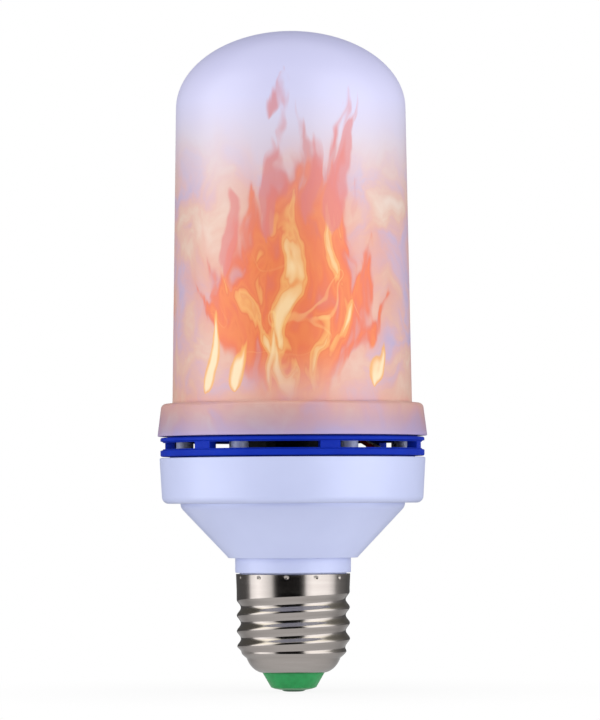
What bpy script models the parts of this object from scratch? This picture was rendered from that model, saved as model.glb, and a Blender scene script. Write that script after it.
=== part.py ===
# Flame effect LED lamp with a 27 mm Edison screw cap, in metres.
# It stands cap down: the origin is at the bottom of the centre contact and +Z is the lamp's axis.
# Angles round the lamp are measured from the front, -Y, turning towards +X.

import bmesh
import bpy
from math import atan2, ceil, cos, hypot, pi, radians, sin, tau
from mathutils import Matrix, Vector

# Fits
SEAT_GAP = 0.0003                # between pieces that seat on or in each other
HOLE_CLEARANCE = 0.0003          # round a screw, wire or pin in its hole

# Centre contact
CONTACT_HEAD_RADIUS = 0.0028
CONTACT_HEAD_HEIGHT = 0.00065
CONTACT_FLAT_RADIUS = 0.0014
CONTACT_SHANK_RADIUS = 0.0011
CONTACT_SHANK_PROUD = 0.0008
CONTACT_EDGE_ROUND = 0.8         # share of the head's height that is rounded

# Insulator
INSULATOR_TIP_RADIUS = 0.0053
INSULATOR_CONE_HEIGHT = 0.00355
INSULATOR_BELLY = 0.0005         # how far its underside bulges round the contact

# Screw cap
CAP_LENGTH = 0.0228
CAP_WALL = 0.00045
CAP_LIP_RADIUS = 0.0078
CAP_KNEE_RADIUS = 0.00965
CAP_KNEE_HEIGHT = 0.0012
CAP_SHOULDER_RADIUS = 0.0109
CAP_SHOULDER_HEIGHT = 0.0033
CAP_SWELL_HEIGHT = 0.0034        # from the shoulder to the full width
CAP_BAND_HEIGHT = 0.00415        # plain band over the last crest, on the +X side
THREAD_CREST_RADIUS = 0.01315
THREAD_DEPTH = 0.00095
THREAD_PITCH = 0.003629
THREAD_FOOT = 0.0016             # where it starts over the shoulder
THREAD_RUN_IN = 0.0018
THREAD_RUN_OUT = 0.3             # share of a turn in which its last groove fades, from +X on
PUNCH_COUNT = 12
PUNCH_ANGLE = radians(-6.6)
PUNCH_DROP = 0.0008              # below the cap's rim
PUNCH_RADIUS = 0.0006
PUNCH_DEPTH = 0.0003

# Housing: neck, cone and collar
NECK_RADIUS = 0.01345
NECK_BAND_HEIGHT = 0.0034
NECK_WALL = 0.0016
NECK_TIP_CHAMFER = 0.0006
NECK_TIP_LIFT = 0.0054           # of the neck's end over the cap's lip
NECK_NOTCH_WIDTH = 0.0022
NECK_NOTCH_HEIGHT = 0.0024
NECK_NOTCH_ANGLE = radians(200)
CONE_FOOT_RADIUS = 0.0152
CONE_HEIGHT = 0.0127
CONE_TOP_ROUND = 0.0022
COLLAR_RADIUS = 0.0309           # at its top, and the size that the ring and skirt follow
COLLAR_HEIGHT = 0.0106
COLLAR_DRAFT = 0.0005            # taken off the radius at its foot
COLLAR_LEDGE = 0.0043            # underside, from its foot in to the cone
COLLAR_CORNER = 0.0016
COLLAR_EDGE = 0.0003
HOUSING_WALL = 0.0018

# Posts inside the housing
POST_COUNT = 6
POST_ANGLE = radians(31.5)
POST_RADIUS = 0.0020
POST_INSET = 0.0008              # clear of the ring's bore
POST_WEB = 0.0012
POST_TOP_GAP = 0.0010            # from the posts' ends to the top of the vent ring

# Vent ring
RING_HEIGHT = 0.0044
RING_INSET = 0.0002              # of the rims behind the collar
RING_WALL = 0.0029
RING_RIM_ROUND = 0.0004
RING_BAND_DEPTH = 0.0006
RING_BAND_HEIGHT = 0.0018
RING_BAND_BEVEL = 0.0002
RING_LOWER_LIP = 0.0030
RING_UPPER_LIP = 0.0026
SLOT_COUNT = 6
SLOT_RISE = 0.565                # share of the ring's height where the slots' middle is
SLOT_HEIGHT = 0.0015
RIB_WIDTH = 0.0045
RIB_ANGLE = radians(16.8)

# Diffuser
SKIRT_PROUD = 0.00045            # past the collar
SKIRT_DRAFT = 0.0008
SKIRT_HEIGHT = 0.0076
SKIRT_LEDGE = 0.0027             # on top, from its edge in to the tube
SKIRT_CORNER = 0.0012
SKIRT_FILLET = 0.0004
TUBE_HEIGHT = 0.0687
TUBE_DRAFT = 0.0011
DOME_HEIGHT = 0.0180
DIFFUSER_WALL = 0.0016

# Moulded core that carries the lights
CORE_RADIUS = 0.0120
CORE_WALL = 0.0014
CORE_PROUD = 0.0006              # above the rolled sheet
CORE_WELL = 0.0080               # below its flange
FLANGE_THICKNESS = 0.0018
FIXING_COUNT = 3
SCREW_RADIUS = 0.0010
SCREW_LENGTH = 0.0110
SCREW_HEAD_RADIUS = 0.0022
SCREW_HEAD_HEIGHT = 0.0015
PILOT_SPARE = 0.0010             # of the pilot hole below the screw's end

# Rolled sheet of lights and the round board on top
SHEET_THICKNESS = 0.0004
SHEET_HEIGHT = 0.0640
SHEET_SEAM = radians(10)
LIGHT_COLUMNS = 9
LIGHT_ROWS = 8
LIGHT_WIDTH = 0.0026
LIGHT_LENGTH = 0.0035
LIGHT_HEIGHT = 0.0008
LIGHT_BITE = 0.0002              # of a light's body into its board
TOP_BOARD_THICKNESS = 0.0012
TOP_BOARD_RADIUS = 0.0124
TOP_LIGHT_COUNT = 6
TOP_LIGHT_CIRCLE = 0.0078

# Driver board and what is on it
BOARD_THICKNESS = 0.0016
BOARD_EDGE = 0.0015              # past the posts' circle
INPUT_CAN_RADIUS = 0.0050
INPUT_CAN_LENGTH = 0.0118
INPUT_CAN_OFFSET = 0.0063        # of its axis from the lamp's, as the offsets below
INPUT_CAN_ANGLE = radians(108)
OUTPUT_CAN_RADIUS = 0.00315
OUTPUT_CAN_LENGTH = 0.0090
OUTPUT_CAN_OFFSET = 0.0103
OUTPUT_CAN_ANGLE = radians(-129)
CAN_GROOVE = 0.08                # depth as a share of its radius
CAN_NECK = 0.16                  # height of the groove as a share of its length
CHOKE_RADIUS = 0.0040
CHOKE_LENGTH = 0.0100
CHOKE_WAIST_RADIUS = 0.0018
CHOKE_FLANGE = 0.0012
CHOKE_OFFSET = 0.0092
CHOKE_ANGLE = radians(-49)
FUSE_RADIUS = 0.0017
FUSE_LENGTH = 0.0090
FUSE_WAIST = 0.8                 # share of its radius between the end bulges
FUSE_END = 0.22                  # length of a bulge as a share of the whole
FUSE_OFFSET = 0.0121
FUSE_ANGLE = radians(52)
CHIP_OFFSET = 0.0140
BRIDGE_SIZE = (0.0050, 0.0065, 0.0026)
BRIDGE_ANGLE = radians(-58)
DRIVER_CHIP_SIZE = (0.0050, 0.0040, 0.0016)
DRIVER_CHIP_ANGLE = radians(-118)
FLAME_CHIP_SIZE = (0.0100, 0.0040, 0.0016)
FLAME_CHIP_ANGLE = radians(178)
PACKAGE_BEVEL = 0.0003
WIRE_RADIUS = 0.0005
LED_WIRE_CIRCLE = 0.0152
LED_WIRE_ANGLE = radians(75)
LED_WIRE_SPACING = 0.0024
LED_WIRE_LEAD = radians(14)      # from where a wire leaves the board to its hole

# Facets
BIG_SIDES = 36
CAP_SIDES = 32
CORE_SIDES = 30
SMALL_SIDES = 16
SLIM_SIDES = 12
HOLE_SIDES = 10
RINGS_PER_PITCH = 5
DOME_STEPS = 7

# Heights along the axis, worked out from the contact upwards
INSULATOR_Z = CONTACT_HEAD_HEIGHT + SEAT_GAP
LIP_Z = INSULATOR_Z + INSULATOR_CONE_HEIGHT
SHOULDER_Z = LIP_Z + CAP_SHOULDER_HEIGHT
CAP_TOP_Z = LIP_Z + CAP_LENGTH
CREST_Z = CAP_TOP_Z - CAP_BAND_HEIGHT
BAND_Z = CREST_Z + THREAD_PITCH * THREAD_RUN_OUT
NECK_TIP_Z = LIP_Z + NECK_TIP_LIFT
NECK_Z = CAP_TOP_Z + SEAT_GAP
CONE_Z = NECK_Z + NECK_BAND_HEIGHT
COLLAR_Z = CONE_Z + CONE_HEIGHT
COLLAR_TOP_Z = COLLAR_Z + COLLAR_HEIGHT
FLOOR_Z = COLLAR_Z + HOUSING_WALL
RING_Z = COLLAR_TOP_Z + SEAT_GAP
RING_TOP_Z = RING_Z + RING_HEIGHT
SLOT_Z = RING_Z + RING_HEIGHT * SLOT_RISE
DIFFUSER_Z = RING_TOP_Z + SEAT_GAP
SKIRT_TOP_Z = DIFFUSER_Z + SKIRT_HEIGHT
DOME_Z = SKIRT_TOP_Z + TUBE_HEIGHT
LAMP_TOP_Z = DOME_Z + DOME_HEIGHT
POST_TOP_Z = RING_TOP_Z + POST_TOP_GAP
FLANGE_Z = POST_TOP_Z + SEAT_GAP
FLANGE_TOP_Z = FLANGE_Z + FLANGE_THICKNESS
SHEET_Z = FLANGE_TOP_Z + SEAT_GAP
CORE_TOP_Z = SHEET_Z + SHEET_HEIGHT + CORE_PROUD
TOP_BOARD_Z = CORE_TOP_Z + SEAT_GAP
BOARD_Z = FLOOR_Z + SEAT_GAP
BOARD_TOP_Z = BOARD_Z + BOARD_THICKNESS

# Radii that follow from a neighbour
COLLAR_FOOT_RADIUS = COLLAR_RADIUS - COLLAR_DRAFT
CONE_TOP_RADIUS = COLLAR_FOOT_RADIUS - COLLAR_LEDGE
RING_RIM_RADIUS = COLLAR_RADIUS - RING_INSET
RING_BORE_RADIUS = RING_RIM_RADIUS - RING_WALL
POST_CIRCLE = RING_BORE_RADIUS - POST_INSET - POST_RADIUS
BOARD_RADIUS = POST_CIRCLE + BOARD_EDGE
SKIRT_RADIUS = COLLAR_RADIUS + SKIRT_PROUD
SKIRT_TOP_RADIUS = SKIRT_RADIUS - SKIRT_DRAFT
TUBE_FOOT_RADIUS = SKIRT_TOP_RADIUS - SKIRT_LEDGE
TUBE_TOP_RADIUS = TUBE_FOOT_RADIUS - TUBE_DRAFT
CAP_BORE = THREAD_CREST_RADIUS - CAP_WALL
THREAD_BORE = CAP_BORE - THREAD_DEPTH
INSULATOR_WAIST = CAP_LIP_RADIUS - CAP_WALL / 2 - SEAT_GAP
NECK_BAND_FIT = CAP_BORE - SEAT_GAP
NECK_THREAD_FIT = THREAD_BORE - SEAT_GAP
NECK_BORE = NECK_THREAD_FIT - NECK_WALL
SHEET_RADIUS = CORE_RADIUS + SEAT_GAP + SHEET_THICKNESS
FLANGE_RADIUS = RING_BORE_RADIUS - SEAT_GAP

lamp = bpy.data.collections.new("flame_lamp")
cutters = bpy.data.collections.new("cutters")


def clear_scene():
    for thing in list(bpy.data.objects):
        bpy.data.objects.remove(thing, do_unlink=True)
    for group in (lamp, cutters):
        bpy.context.scene.collection.children.link(group)


def material(name, colour, roughness, metallic=0.0, transmission=0.0):
    made = bpy.data.materials.new(name)
    made.use_nodes = True
    shader = made.node_tree.nodes["Principled BSDF"]
    shader.inputs["Base Color"].default_value = (*colour, 1.0)
    shader.inputs["Roughness"].default_value = roughness
    shader.inputs["Metallic"].default_value = metallic
    shader.inputs["Transmission Weight"].default_value = transmission
    return made


def add_object(name, data, finish=None, group=lamp):
    thing = bpy.data.objects.new(name, data)
    group.objects.link(thing)
    if finish:
        data.materials.append(finish)
    if group is cutters:
        thing.hide_render = True
        thing.display_type = "WIRE"
    return thing


def around(radius, angle, z=0.0):
    # a point at an angle from the front
    return Vector((radius * sin(angle), -radius * cos(angle), z))


def arc(centre_r, centre_z, radius_r, radius_z, start, end, steps):
    # points of an elliptical arc in a profile, angles in degrees from outwards to up
    points = []
    for step in range(steps + 1):
        angle = radians(start + (end - start) * step / steps)
        points.append((centre_r + radius_r * cos(angle), centre_z + radius_z * sin(angle)))
    return points


def evaluated_mesh(thing):
    depsgraph = bpy.context.evaluated_depsgraph_get()
    return bpy.data.meshes.new_from_object(thing.evaluated_get(depsgraph))


# A turned piece: its profile runs down the outer side, and a closed one comes back up the bore.
def turned(name, profile, finish=None, sides=BIG_SIDES, closed=False, angle=tau, group=lamp):
    mesh = bpy.data.meshes.new(name)
    verts = [(radius, 0.0, z) for radius, z in profile]
    edges = [(n, n + 1) for n in range(len(verts) - 1)]
    if closed:
        edges.append((len(verts) - 1, 0))
    mesh.from_pydata(verts, edges, [])
    thing = add_object(name, mesh, finish, group)
    screw = thing.modifiers.new("turn", "SCREW")
    screw.axis = "Z"
    screw.angle = angle
    screw.steps = sides
    screw.render_steps = sides
    screw.use_merge_vertices = True
    screw.merge_threshold = 0.00001
    screw.use_smooth_shade = True
    return thing


def combine(thing, other, operation):
    boolean = thing.modifiers.new(other.name, "BOOLEAN")
    boolean.operation = operation
    boolean.solver = "EXACT"
    boolean.object = other


# Several upright cylinders in one mesh, for holes and posts.
def cylinders(name, places, radius, low, high, sides=HOLE_SIDES):
    shape = bmesh.new()
    for place in places:
        where = Matrix.Translation((place.x, place.y, (low + high) / 2))
        bmesh.ops.create_cone(
            shape, cap_ends=True, segments=sides, radius1=radius, radius2=radius,
            depth=high - low, matrix=where)
    mesh = bpy.data.meshes.new(name)
    shape.to_mesh(mesh)
    shape.free()
    return add_object(name, mesh, group=cutters)


# Several boxes in one mesh: each is its size and a matrix that places it.
def boxes(name, size, places):
    shape = bmesh.new()
    for place in places:
        scale = Matrix.Diagonal((*size, 1.0))
        bmesh.ops.create_cube(shape, size=1.0, matrix=place @ scale)
    mesh = bpy.data.meshes.new(name)
    shape.to_mesh(mesh)
    shape.free()
    return add_object(name, mesh, group=cutters)


def facing(angle, radius, z):
    # placed at an angle from the front, its own +X pointing outwards
    return Matrix.Translation(around(radius, angle, z)) @ Matrix.Rotation(angle - pi / 2, 4, "Z")


# A flat outline in the XY plane, given a thickness.
def plate(name, outline, low, high, finish=None, group=lamp):
    curve = bpy.data.curves.new(name, "CURVE")
    curve.dimensions = "2D"
    curve.fill_mode = "BOTH"
    curve.extrude = (high - low) / 2
    spline = curve.splines.new("POLY")
    spline.points.add(len(outline) - 1)
    for point, place in zip(spline.points, outline):
        point.co = (place.x, place.y, 0.0, 1.0)
    spline.use_cyclic_u = True
    thing = add_object(name, curve, finish, group)
    thing.location.z = (low + high) / 2
    return thing


def curve_to_mesh(thing, finish=None, group=cutters):
    mesh = evaluated_mesh(thing)
    shape = bmesh.new()
    shape.from_mesh(mesh)
    bmesh.ops.remove_doubles(shape, verts=shape.verts, dist=0.000001)
    bmesh.ops.recalc_face_normals(shape, faces=shape.faces)
    shape.to_mesh(mesh)
    shape.free()
    name = thing.name
    place = thing.matrix_world.copy()
    bpy.data.objects.remove(thing)
    made = add_object(name, mesh, finish, group)
    made.matrix_world = place
    return made


def centre_contact():
    brass = material("contact_plate", (0.42, 0.46, 0.40), 0.45, 0.9)
    shank_top = NECK_TIP_Z - SEAT_GAP + CONTACT_SHANK_PROUD
    edge_height = CONTACT_HEAD_HEIGHT * CONTACT_EDGE_ROUND
    head = arc(
        CONTACT_FLAT_RADIUS, edge_height,
        CONTACT_HEAD_RADIUS - CONTACT_FLAT_RADIUS, edge_height, 0, -90, 3)
    profile = [
        (0.0, shank_top),
        (CONTACT_SHANK_RADIUS, shank_top),
        (CONTACT_SHANK_RADIUS, CONTACT_HEAD_HEIGHT),
        (CONTACT_HEAD_RADIUS, CONTACT_HEAD_HEIGHT),
        *head,
        (0.0, 0.0),
    ]
    turned("centre_contact", profile, brass, SMALL_SIDES)


def insulator():
    green = material("insulator_resin", (0.05, 0.33, 0.10), 0.35)
    seat_z = LIP_Z + CAP_KNEE_HEIGHT + CAP_WALL
    bore = CONTACT_SHANK_RADIUS + HOLE_CLEARANCE
    recess = CONTACT_HEAD_RADIUS + SEAT_GAP
    shoulder = CAP_SHOULDER_RADIUS - CAP_WALL - 2 * SEAT_GAP
    top_z = NECK_TIP_Z - SEAT_GAP
    profile = [
        (shoulder, top_z),
        (shoulder, SHOULDER_Z + SEAT_GAP),
        (CAP_KNEE_RADIUS - CAP_WALL - SEAT_GAP, seat_z + SEAT_GAP),
        (INSULATOR_WAIST, seat_z),
        (INSULATOR_WAIST, LIP_Z),
        (INSULATOR_TIP_RADIUS, INSULATOR_Z),
        (recess, INSULATOR_Z - INSULATOR_BELLY),
        (recess, INSULATOR_Z),
        (bore, INSULATOR_Z),
        (bore, top_z),
    ]
    turned("insulator", profile, green, CAP_SIDES, closed=True)


def smooth_step(value):
    value = min(max(value, 0.0), 1.0)
    return value * value * (3 - 2 * value)


def thread_envelope(z):
    run = min(max((z - SHOULDER_Z) / CAP_SWELL_HEIGHT, 0.0), 1.0)
    swell = 1 - (1 - run) ** 2
    return CAP_SHOULDER_RADIUS + (THREAD_CREST_RADIUS - CAP_SHOULDER_RADIUS) * swell


def thread_cut(z, angle):
    # how far the right-hand thread lies below its crests, rising anticlockwise seen from above
    turn = angle / tau
    last_crest = CREST_Z + THREAD_PITCH * turn
    if z > last_crest:
        return 0.0
    groove = (1 - cos(tau * (last_crest - z) / THREAD_PITCH)) / 2
    run_in = smooth_step((z - SHOULDER_Z - THREAD_FOOT) / THREAD_RUN_IN)
    run_out = 1.0
    if z > last_crest - THREAD_PITCH:
        run_out = 1 - smooth_step(turn / THREAD_RUN_OUT)
    return THREAD_DEPTH * groove * run_in * run_out


# The shell is one thin sheet, so the thread is rolled into its outside and its bore alike.
def screw_cap():
    nickel = material("nickel_plate", (0.72, 0.69, 0.66), 0.18, 1.0)
    rings = ceil((BAND_Z - SHOULDER_Z) / (THREAD_PITCH / RINGS_PER_PITCH))
    step = (BAND_Z - SHOULDER_Z) / rings
    profile = [(THREAD_CREST_RADIUS, CAP_TOP_Z)]
    profile += [(thread_envelope(BAND_Z - n * step), BAND_Z - n * step) for n in range(rings)]
    profile += [
        (CAP_SHOULDER_RADIUS, SHOULDER_Z),
        (CAP_KNEE_RADIUS, LIP_Z + CAP_KNEE_HEIGHT),
        (CAP_LIP_RADIUS, LIP_Z),
    ]
    blank = turned("blank", profile, sides=CAP_SIDES)
    mesh = evaluated_mesh(blank)
    bpy.data.objects.remove(blank)
    mesh.name = "screw_cap"
    for vert in mesh.vertices:
        if SHOULDER_Z < vert.co.z < BAND_Z:
            radius = hypot(vert.co.x, vert.co.y)
            rolled = radius - thread_cut(vert.co.z, atan2(vert.co.y, vert.co.x))
            vert.co.x *= rolled / radius
            vert.co.y *= rolled / radius
    cap = add_object("screw_cap", mesh, nickel)
    wall = cap.modifiers.new("wall", "SOLIDIFY")
    wall.thickness = CAP_WALL
    wall.offset = -1.0
    wall.use_even_offset = True
    combine(cap, punch_marks(), "DIFFERENCE")


def punch_marks():
    shape = bmesh.new()
    centre = THREAD_CREST_RADIUS - PUNCH_DEPTH + PUNCH_RADIUS
    for n in range(PUNCH_COUNT):
        angle = PUNCH_ANGLE + tau * n / PUNCH_COUNT
        where = facing(angle, centre, CAP_TOP_Z - PUNCH_DROP)
        turn = Matrix.Rotation(pi / 2, 4, "Y")
        bmesh.ops.create_uvsphere(
            shape, u_segments=6, v_segments=6, radius=PUNCH_RADIUS, matrix=where @ turn)
    mesh = bpy.data.meshes.new("punch_marks")
    shape.to_mesh(mesh)
    shape.free()
    return add_object("punch_marks", mesh, group=cutters)


def post_angles():
    return [POST_ANGLE + tau * n / POST_COUNT for n in range(POST_COUNT)]


def fixing_angles():
    return post_angles()[::POST_COUNT // FIXING_COUNT]


def housing():
    white = material("housing_plastic", (0.60, 0.65, 0.90), 0.38)
    slope = atan2(CONE_TOP_RADIUS - CONE_FOOT_RADIUS, CONE_HEIGHT)
    lean = (CONE_TOP_RADIUS - CONE_FOOT_RADIUS) / CONE_HEIGHT
    cone_round = arc(
        CONE_TOP_RADIUS - CONE_TOP_ROUND, COLLAR_Z, CONE_TOP_ROUND, CONE_TOP_ROUND,
        0, -slope * 180 / pi, 3)
    collar_corner = arc(
        COLLAR_FOOT_RADIUS - COLLAR_CORNER, COLLAR_Z + COLLAR_CORNER,
        COLLAR_CORNER, COLLAR_CORNER, 0, -90, 3)
    inner_foot = CONE_FOOT_RADIUS + lean * HOUSING_WALL - HOUSING_WALL / cos(slope)
    inner_top = inner_foot + lean * CONE_HEIGHT
    profile = [
        (COLLAR_RADIUS - COLLAR_EDGE, COLLAR_TOP_Z),
        (COLLAR_RADIUS, COLLAR_TOP_Z - COLLAR_EDGE),
        *collar_corner,
        *cone_round,
        (CONE_FOOT_RADIUS, CONE_Z),
        (NECK_RADIUS, CONE_Z),
        (NECK_RADIUS, NECK_Z),
        (NECK_BAND_FIT, NECK_Z),
        (NECK_BAND_FIT, BAND_Z + SEAT_GAP),
        (NECK_THREAD_FIT, BAND_Z),
        (NECK_THREAD_FIT, NECK_TIP_Z + 2 * NECK_TIP_CHAMFER),
        (NECK_THREAD_FIT - NECK_TIP_CHAMFER, NECK_TIP_Z),
        (NECK_BORE, NECK_TIP_Z),
        (NECK_BORE, CONE_Z + HOUSING_WALL),
        (inner_foot, CONE_Z + HOUSING_WALL),
        (inner_top, FLOOR_Z),
        (COLLAR_FOOT_RADIUS - HOUSING_WALL, FLOOR_Z),
        (COLLAR_RADIUS - HOUSING_WALL, COLLAR_TOP_Z),
    ]
    shell = turned("housing", profile, white, closed=True)
    places = [around(POST_CIRCLE, angle) for angle in post_angles()]
    posts = cylinders("posts", places, POST_RADIUS, FLOOR_Z - HOUSING_WALL / 2, POST_TOP_Z, SLIM_SIDES)
    combine(shell, posts, "UNION")

    web_low = FLOOR_Z - HOUSING_WALL / 4
    web_high = RING_Z - RING_LOWER_LIP - SEAT_GAP
    web_in = POST_CIRCLE + POST_RADIUS / 2
    web_out = COLLAR_FOOT_RADIUS - HOUSING_WALL / 2
    places = [facing(angle, (web_in + web_out) / 2, (web_low + web_high) / 2) for angle in post_angles()]
    webs = boxes("post_webs", (web_out - web_in, POST_WEB, web_high - web_low), places)
    combine(shell, webs, "UNION")

    fixings = [around(POST_CIRCLE, angle) for angle in fixing_angles()]
    depth = FLANGE_TOP_Z + SEAT_GAP - SCREW_LENGTH - PILOT_SPARE
    above = POST_TOP_Z + POST_TOP_GAP
    pilots = cylinders("pilot_holes", fixings, SCREW_RADIUS + HOLE_CLEARANCE, depth, above)
    combine(shell, pilots, "DIFFERENCE")

    notch_size = (2 * NECK_WALL, NECK_NOTCH_WIDTH, 2 * NECK_NOTCH_HEIGHT)
    notch_place = facing(NECK_NOTCH_ANGLE, NECK_BORE + NECK_WALL / 2, NECK_TIP_Z)
    combine(shell, boxes("neck_notch", notch_size, [notch_place]), "DIFFERENCE")


def skirt_bore(z):
    # inner radius of the diffuser's tapering skirt
    share = (z - DIFFUSER_Z) / (SKIRT_HEIGHT - DIFFUSER_WALL)
    return SKIRT_RADIUS - DIFFUSER_WALL + (SKIRT_TOP_RADIUS - SKIRT_RADIUS) * share


def vent_ring():
    blue = material("ring_plastic", (0.02, 0.06, 0.62), 0.30)
    lip_top = RING_TOP_Z + RING_UPPER_LIP
    upper_lip = skirt_bore(lip_top) - SEAT_GAP
    lower_lip = COLLAR_RADIUS - HOUSING_WALL - 2 * SEAT_GAP
    band_radius = RING_RIM_RADIUS - RING_BAND_DEPTH
    band_top = SLOT_Z + RING_BAND_HEIGHT / 2
    band_low = SLOT_Z - RING_BAND_HEIGHT / 2
    edge = RING_RIM_RADIUS - RING_RIM_ROUND
    profile = [
        (upper_lip, lip_top),
        (upper_lip, RING_TOP_Z),
        *arc(edge, RING_TOP_Z - RING_RIM_ROUND, RING_RIM_ROUND, RING_RIM_ROUND, 90, 0, 2),
        (RING_RIM_RADIUS, band_top + RING_BAND_BEVEL),
        (band_radius, band_top),
        (band_radius, band_low),
        (RING_RIM_RADIUS, band_low - RING_BAND_BEVEL),
        *arc(edge, RING_Z + RING_RIM_ROUND, RING_RIM_ROUND, RING_RIM_ROUND, 0, -90, 2),
        (lower_lip, RING_Z),
        (lower_lip, RING_Z - RING_LOWER_LIP),
        (RING_BORE_RADIUS, RING_Z - RING_LOWER_LIP),
        (RING_BORE_RADIUS, lip_top),
    ]
    ring = turned("vent_ring", profile, blue, closed=True)
    combine(ring, slot_cutter(), "DIFFERENCE")


# One star-shaped slab cuts all the slots: its notches leave the parallel-sided ribs standing.
def slot_cutter():
    reach = RING_RIM_RADIUS + 2 * RING_BAND_DEPTH
    root = RING_BORE_RADIUS - 2 * RING_BAND_DEPTH
    half = RIB_WIDTH / 2
    lobe_steps = 6
    outline = []
    for n in range(SLOT_COUNT):
        rib = RIB_ANGLE + tau * n / SLOT_COUNT
        next_rib = rib + tau / SLOT_COUNT
        for radius in (root, reach):
            outline.append(around(radius, rib + atan2(half, radius)))
        first = rib + atan2(half, reach)
        last = next_rib - atan2(half, reach)
        for step in range(1, lobe_steps):
            outline.append(around(reach, first + (last - first) * step / lobe_steps))
        for radius in (reach, root):
            outline.append(around(radius, next_rib - atan2(half, radius)))
    slab = plate("slots", outline, SLOT_Z - SLOT_HEIGHT / 2, SLOT_Z + SLOT_HEIGHT / 2, group=cutters)
    return curve_to_mesh(slab)


def diffuser():
    milky = material("opal_polycarbonate", (0.86, 0.80, 0.84), 0.25, transmission=0.2)
    bore_top = TUBE_TOP_RADIUS - DIFFUSER_WALL
    skirt_edge = SKIRT_TOP_RADIUS - SKIRT_CORNER
    profile = [
        *arc(0, DOME_Z, TUBE_TOP_RADIUS, DOME_HEIGHT, 90, 0, DOME_STEPS),
        *arc(
            TUBE_FOOT_RADIUS + SKIRT_FILLET, SKIRT_TOP_Z + SKIRT_FILLET,
            SKIRT_FILLET, SKIRT_FILLET, 180, 270, 2),
        *arc(skirt_edge, SKIRT_TOP_Z - SKIRT_CORNER, SKIRT_CORNER, SKIRT_CORNER, 90, 0, 4),
        (SKIRT_RADIUS, DIFFUSER_Z),
        (SKIRT_RADIUS - DIFFUSER_WALL, DIFFUSER_Z),
        (SKIRT_TOP_RADIUS - DIFFUSER_WALL, SKIRT_TOP_Z - DIFFUSER_WALL),
        (TUBE_FOOT_RADIUS - DIFFUSER_WALL, SKIRT_TOP_Z - DIFFUSER_WALL),
        *arc(0, DOME_Z, bore_top, DOME_HEIGHT - DIFFUSER_WALL, 0, 90, DOME_STEPS),
    ]
    profile[0] = (0.0, LAMP_TOP_Z)
    profile[-1] = (0.0, LAMP_TOP_Z - DIFFUSER_WALL)
    turned("diffuser", profile, milky)


def led_core():
    black = material("core_plastic", (0.02, 0.02, 0.022), 0.5)
    bore = CORE_RADIUS - CORE_WALL
    well = FLANGE_Z - CORE_WELL
    profile = [
        (CORE_RADIUS, CORE_TOP_Z),
        (CORE_RADIUS, FLANGE_TOP_Z),
        (FLANGE_RADIUS, FLANGE_TOP_Z),
        (FLANGE_RADIUS, FLANGE_Z),
        (CORE_RADIUS, FLANGE_Z),
        (CORE_RADIUS, well),
        (bore, well),
        (bore, CORE_TOP_Z),
    ]
    core = turned("led_core", profile, black, CORE_SIDES, closed=True)
    low = FLANGE_Z - FLANGE_THICKNESS
    high = FLANGE_TOP_Z + FLANGE_THICKNESS
    fixings = [around(POST_CIRCLE, angle) for angle in fixing_angles()]
    screw_holes = cylinders("flange_holes", fixings, SCREW_RADIUS + HOLE_CLEARANCE, low, high)
    combine(core, screw_holes, "DIFFERENCE")
    wires = [around(LED_WIRE_CIRCLE, angle) for angle in led_wire_angles()]
    wire_holes = cylinders("wire_holes", wires, WIRE_RADIUS + HOLE_CLEARANCE, low, high)
    combine(core, wire_holes, "DIFFERENCE")


def led_wire_angles():
    half = atan2(LED_WIRE_SPACING / 2, LED_WIRE_CIRCLE)
    return [LED_WIRE_ANGLE - half, LED_WIRE_ANGLE + half]


def fixing_screws():
    steel = material("screw_steel", (0.6, 0.6, 0.58), 0.3, 1.0)
    crown = arc(
        0, SCREW_HEAD_HEIGHT / 2, SCREW_HEAD_RADIUS, SCREW_HEAD_HEIGHT / 2, 90, 0, 3)
    profile = [
        *crown,
        (SCREW_HEAD_RADIUS, 0.0),
        (SCREW_RADIUS, 0.0),
        (SCREW_RADIUS, SCREW_RADIUS - SCREW_LENGTH),
        (0.0, -SCREW_LENGTH),
    ]
    profile[0] = (0.0, SCREW_HEAD_HEIGHT)
    for n, angle in enumerate(fixing_angles()):
        screw = turned(f"fixing_screw_{n + 1}", profile, steel, SLIM_SIDES)
        screw.location = around(POST_CIRCLE, angle, FLANGE_TOP_Z + SEAT_GAP)


def led_sheet():
    amber = material("flexible_board", (0.75, 0.62, 0.35), 0.4)
    steps = 3 * LIGHT_COLUMNS
    turn = tau - SHEET_SEAM
    profile = [(SHEET_RADIUS, SHEET_Z + SHEET_HEIGHT), (SHEET_RADIUS, SHEET_Z)]
    sheet = turned("led_sheet", profile, amber, steps, angle=turn)
    wall = sheet.modifiers.new("wall", "SOLIDIFY")
    wall.thickness = SHEET_THICKNESS
    wall.offset = -1.0
    wall.use_even_offset = True
    facet = SHEET_RADIUS * cos(turn / steps / 2)
    places = []
    for column in range(LIGHT_COLUMNS):
        angle = turn / steps * (3 * column + 1.5)
        for row in range(LIGHT_ROWS):
            z = SHEET_Z + SHEET_HEIGHT * (row + 0.5) / LIGHT_ROWS
            out = facet - LIGHT_BITE + (LIGHT_HEIGHT + LIGHT_BITE) / 2
            places.append(Matrix.Rotation(angle, 4, "Z") @ Matrix.Translation((out, 0, z)))
    size = (LIGHT_HEIGHT + LIGHT_BITE, LIGHT_WIDTH, LIGHT_LENGTH)
    combine(sheet, boxes("sheet_lights", size, places), "UNION")


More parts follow.
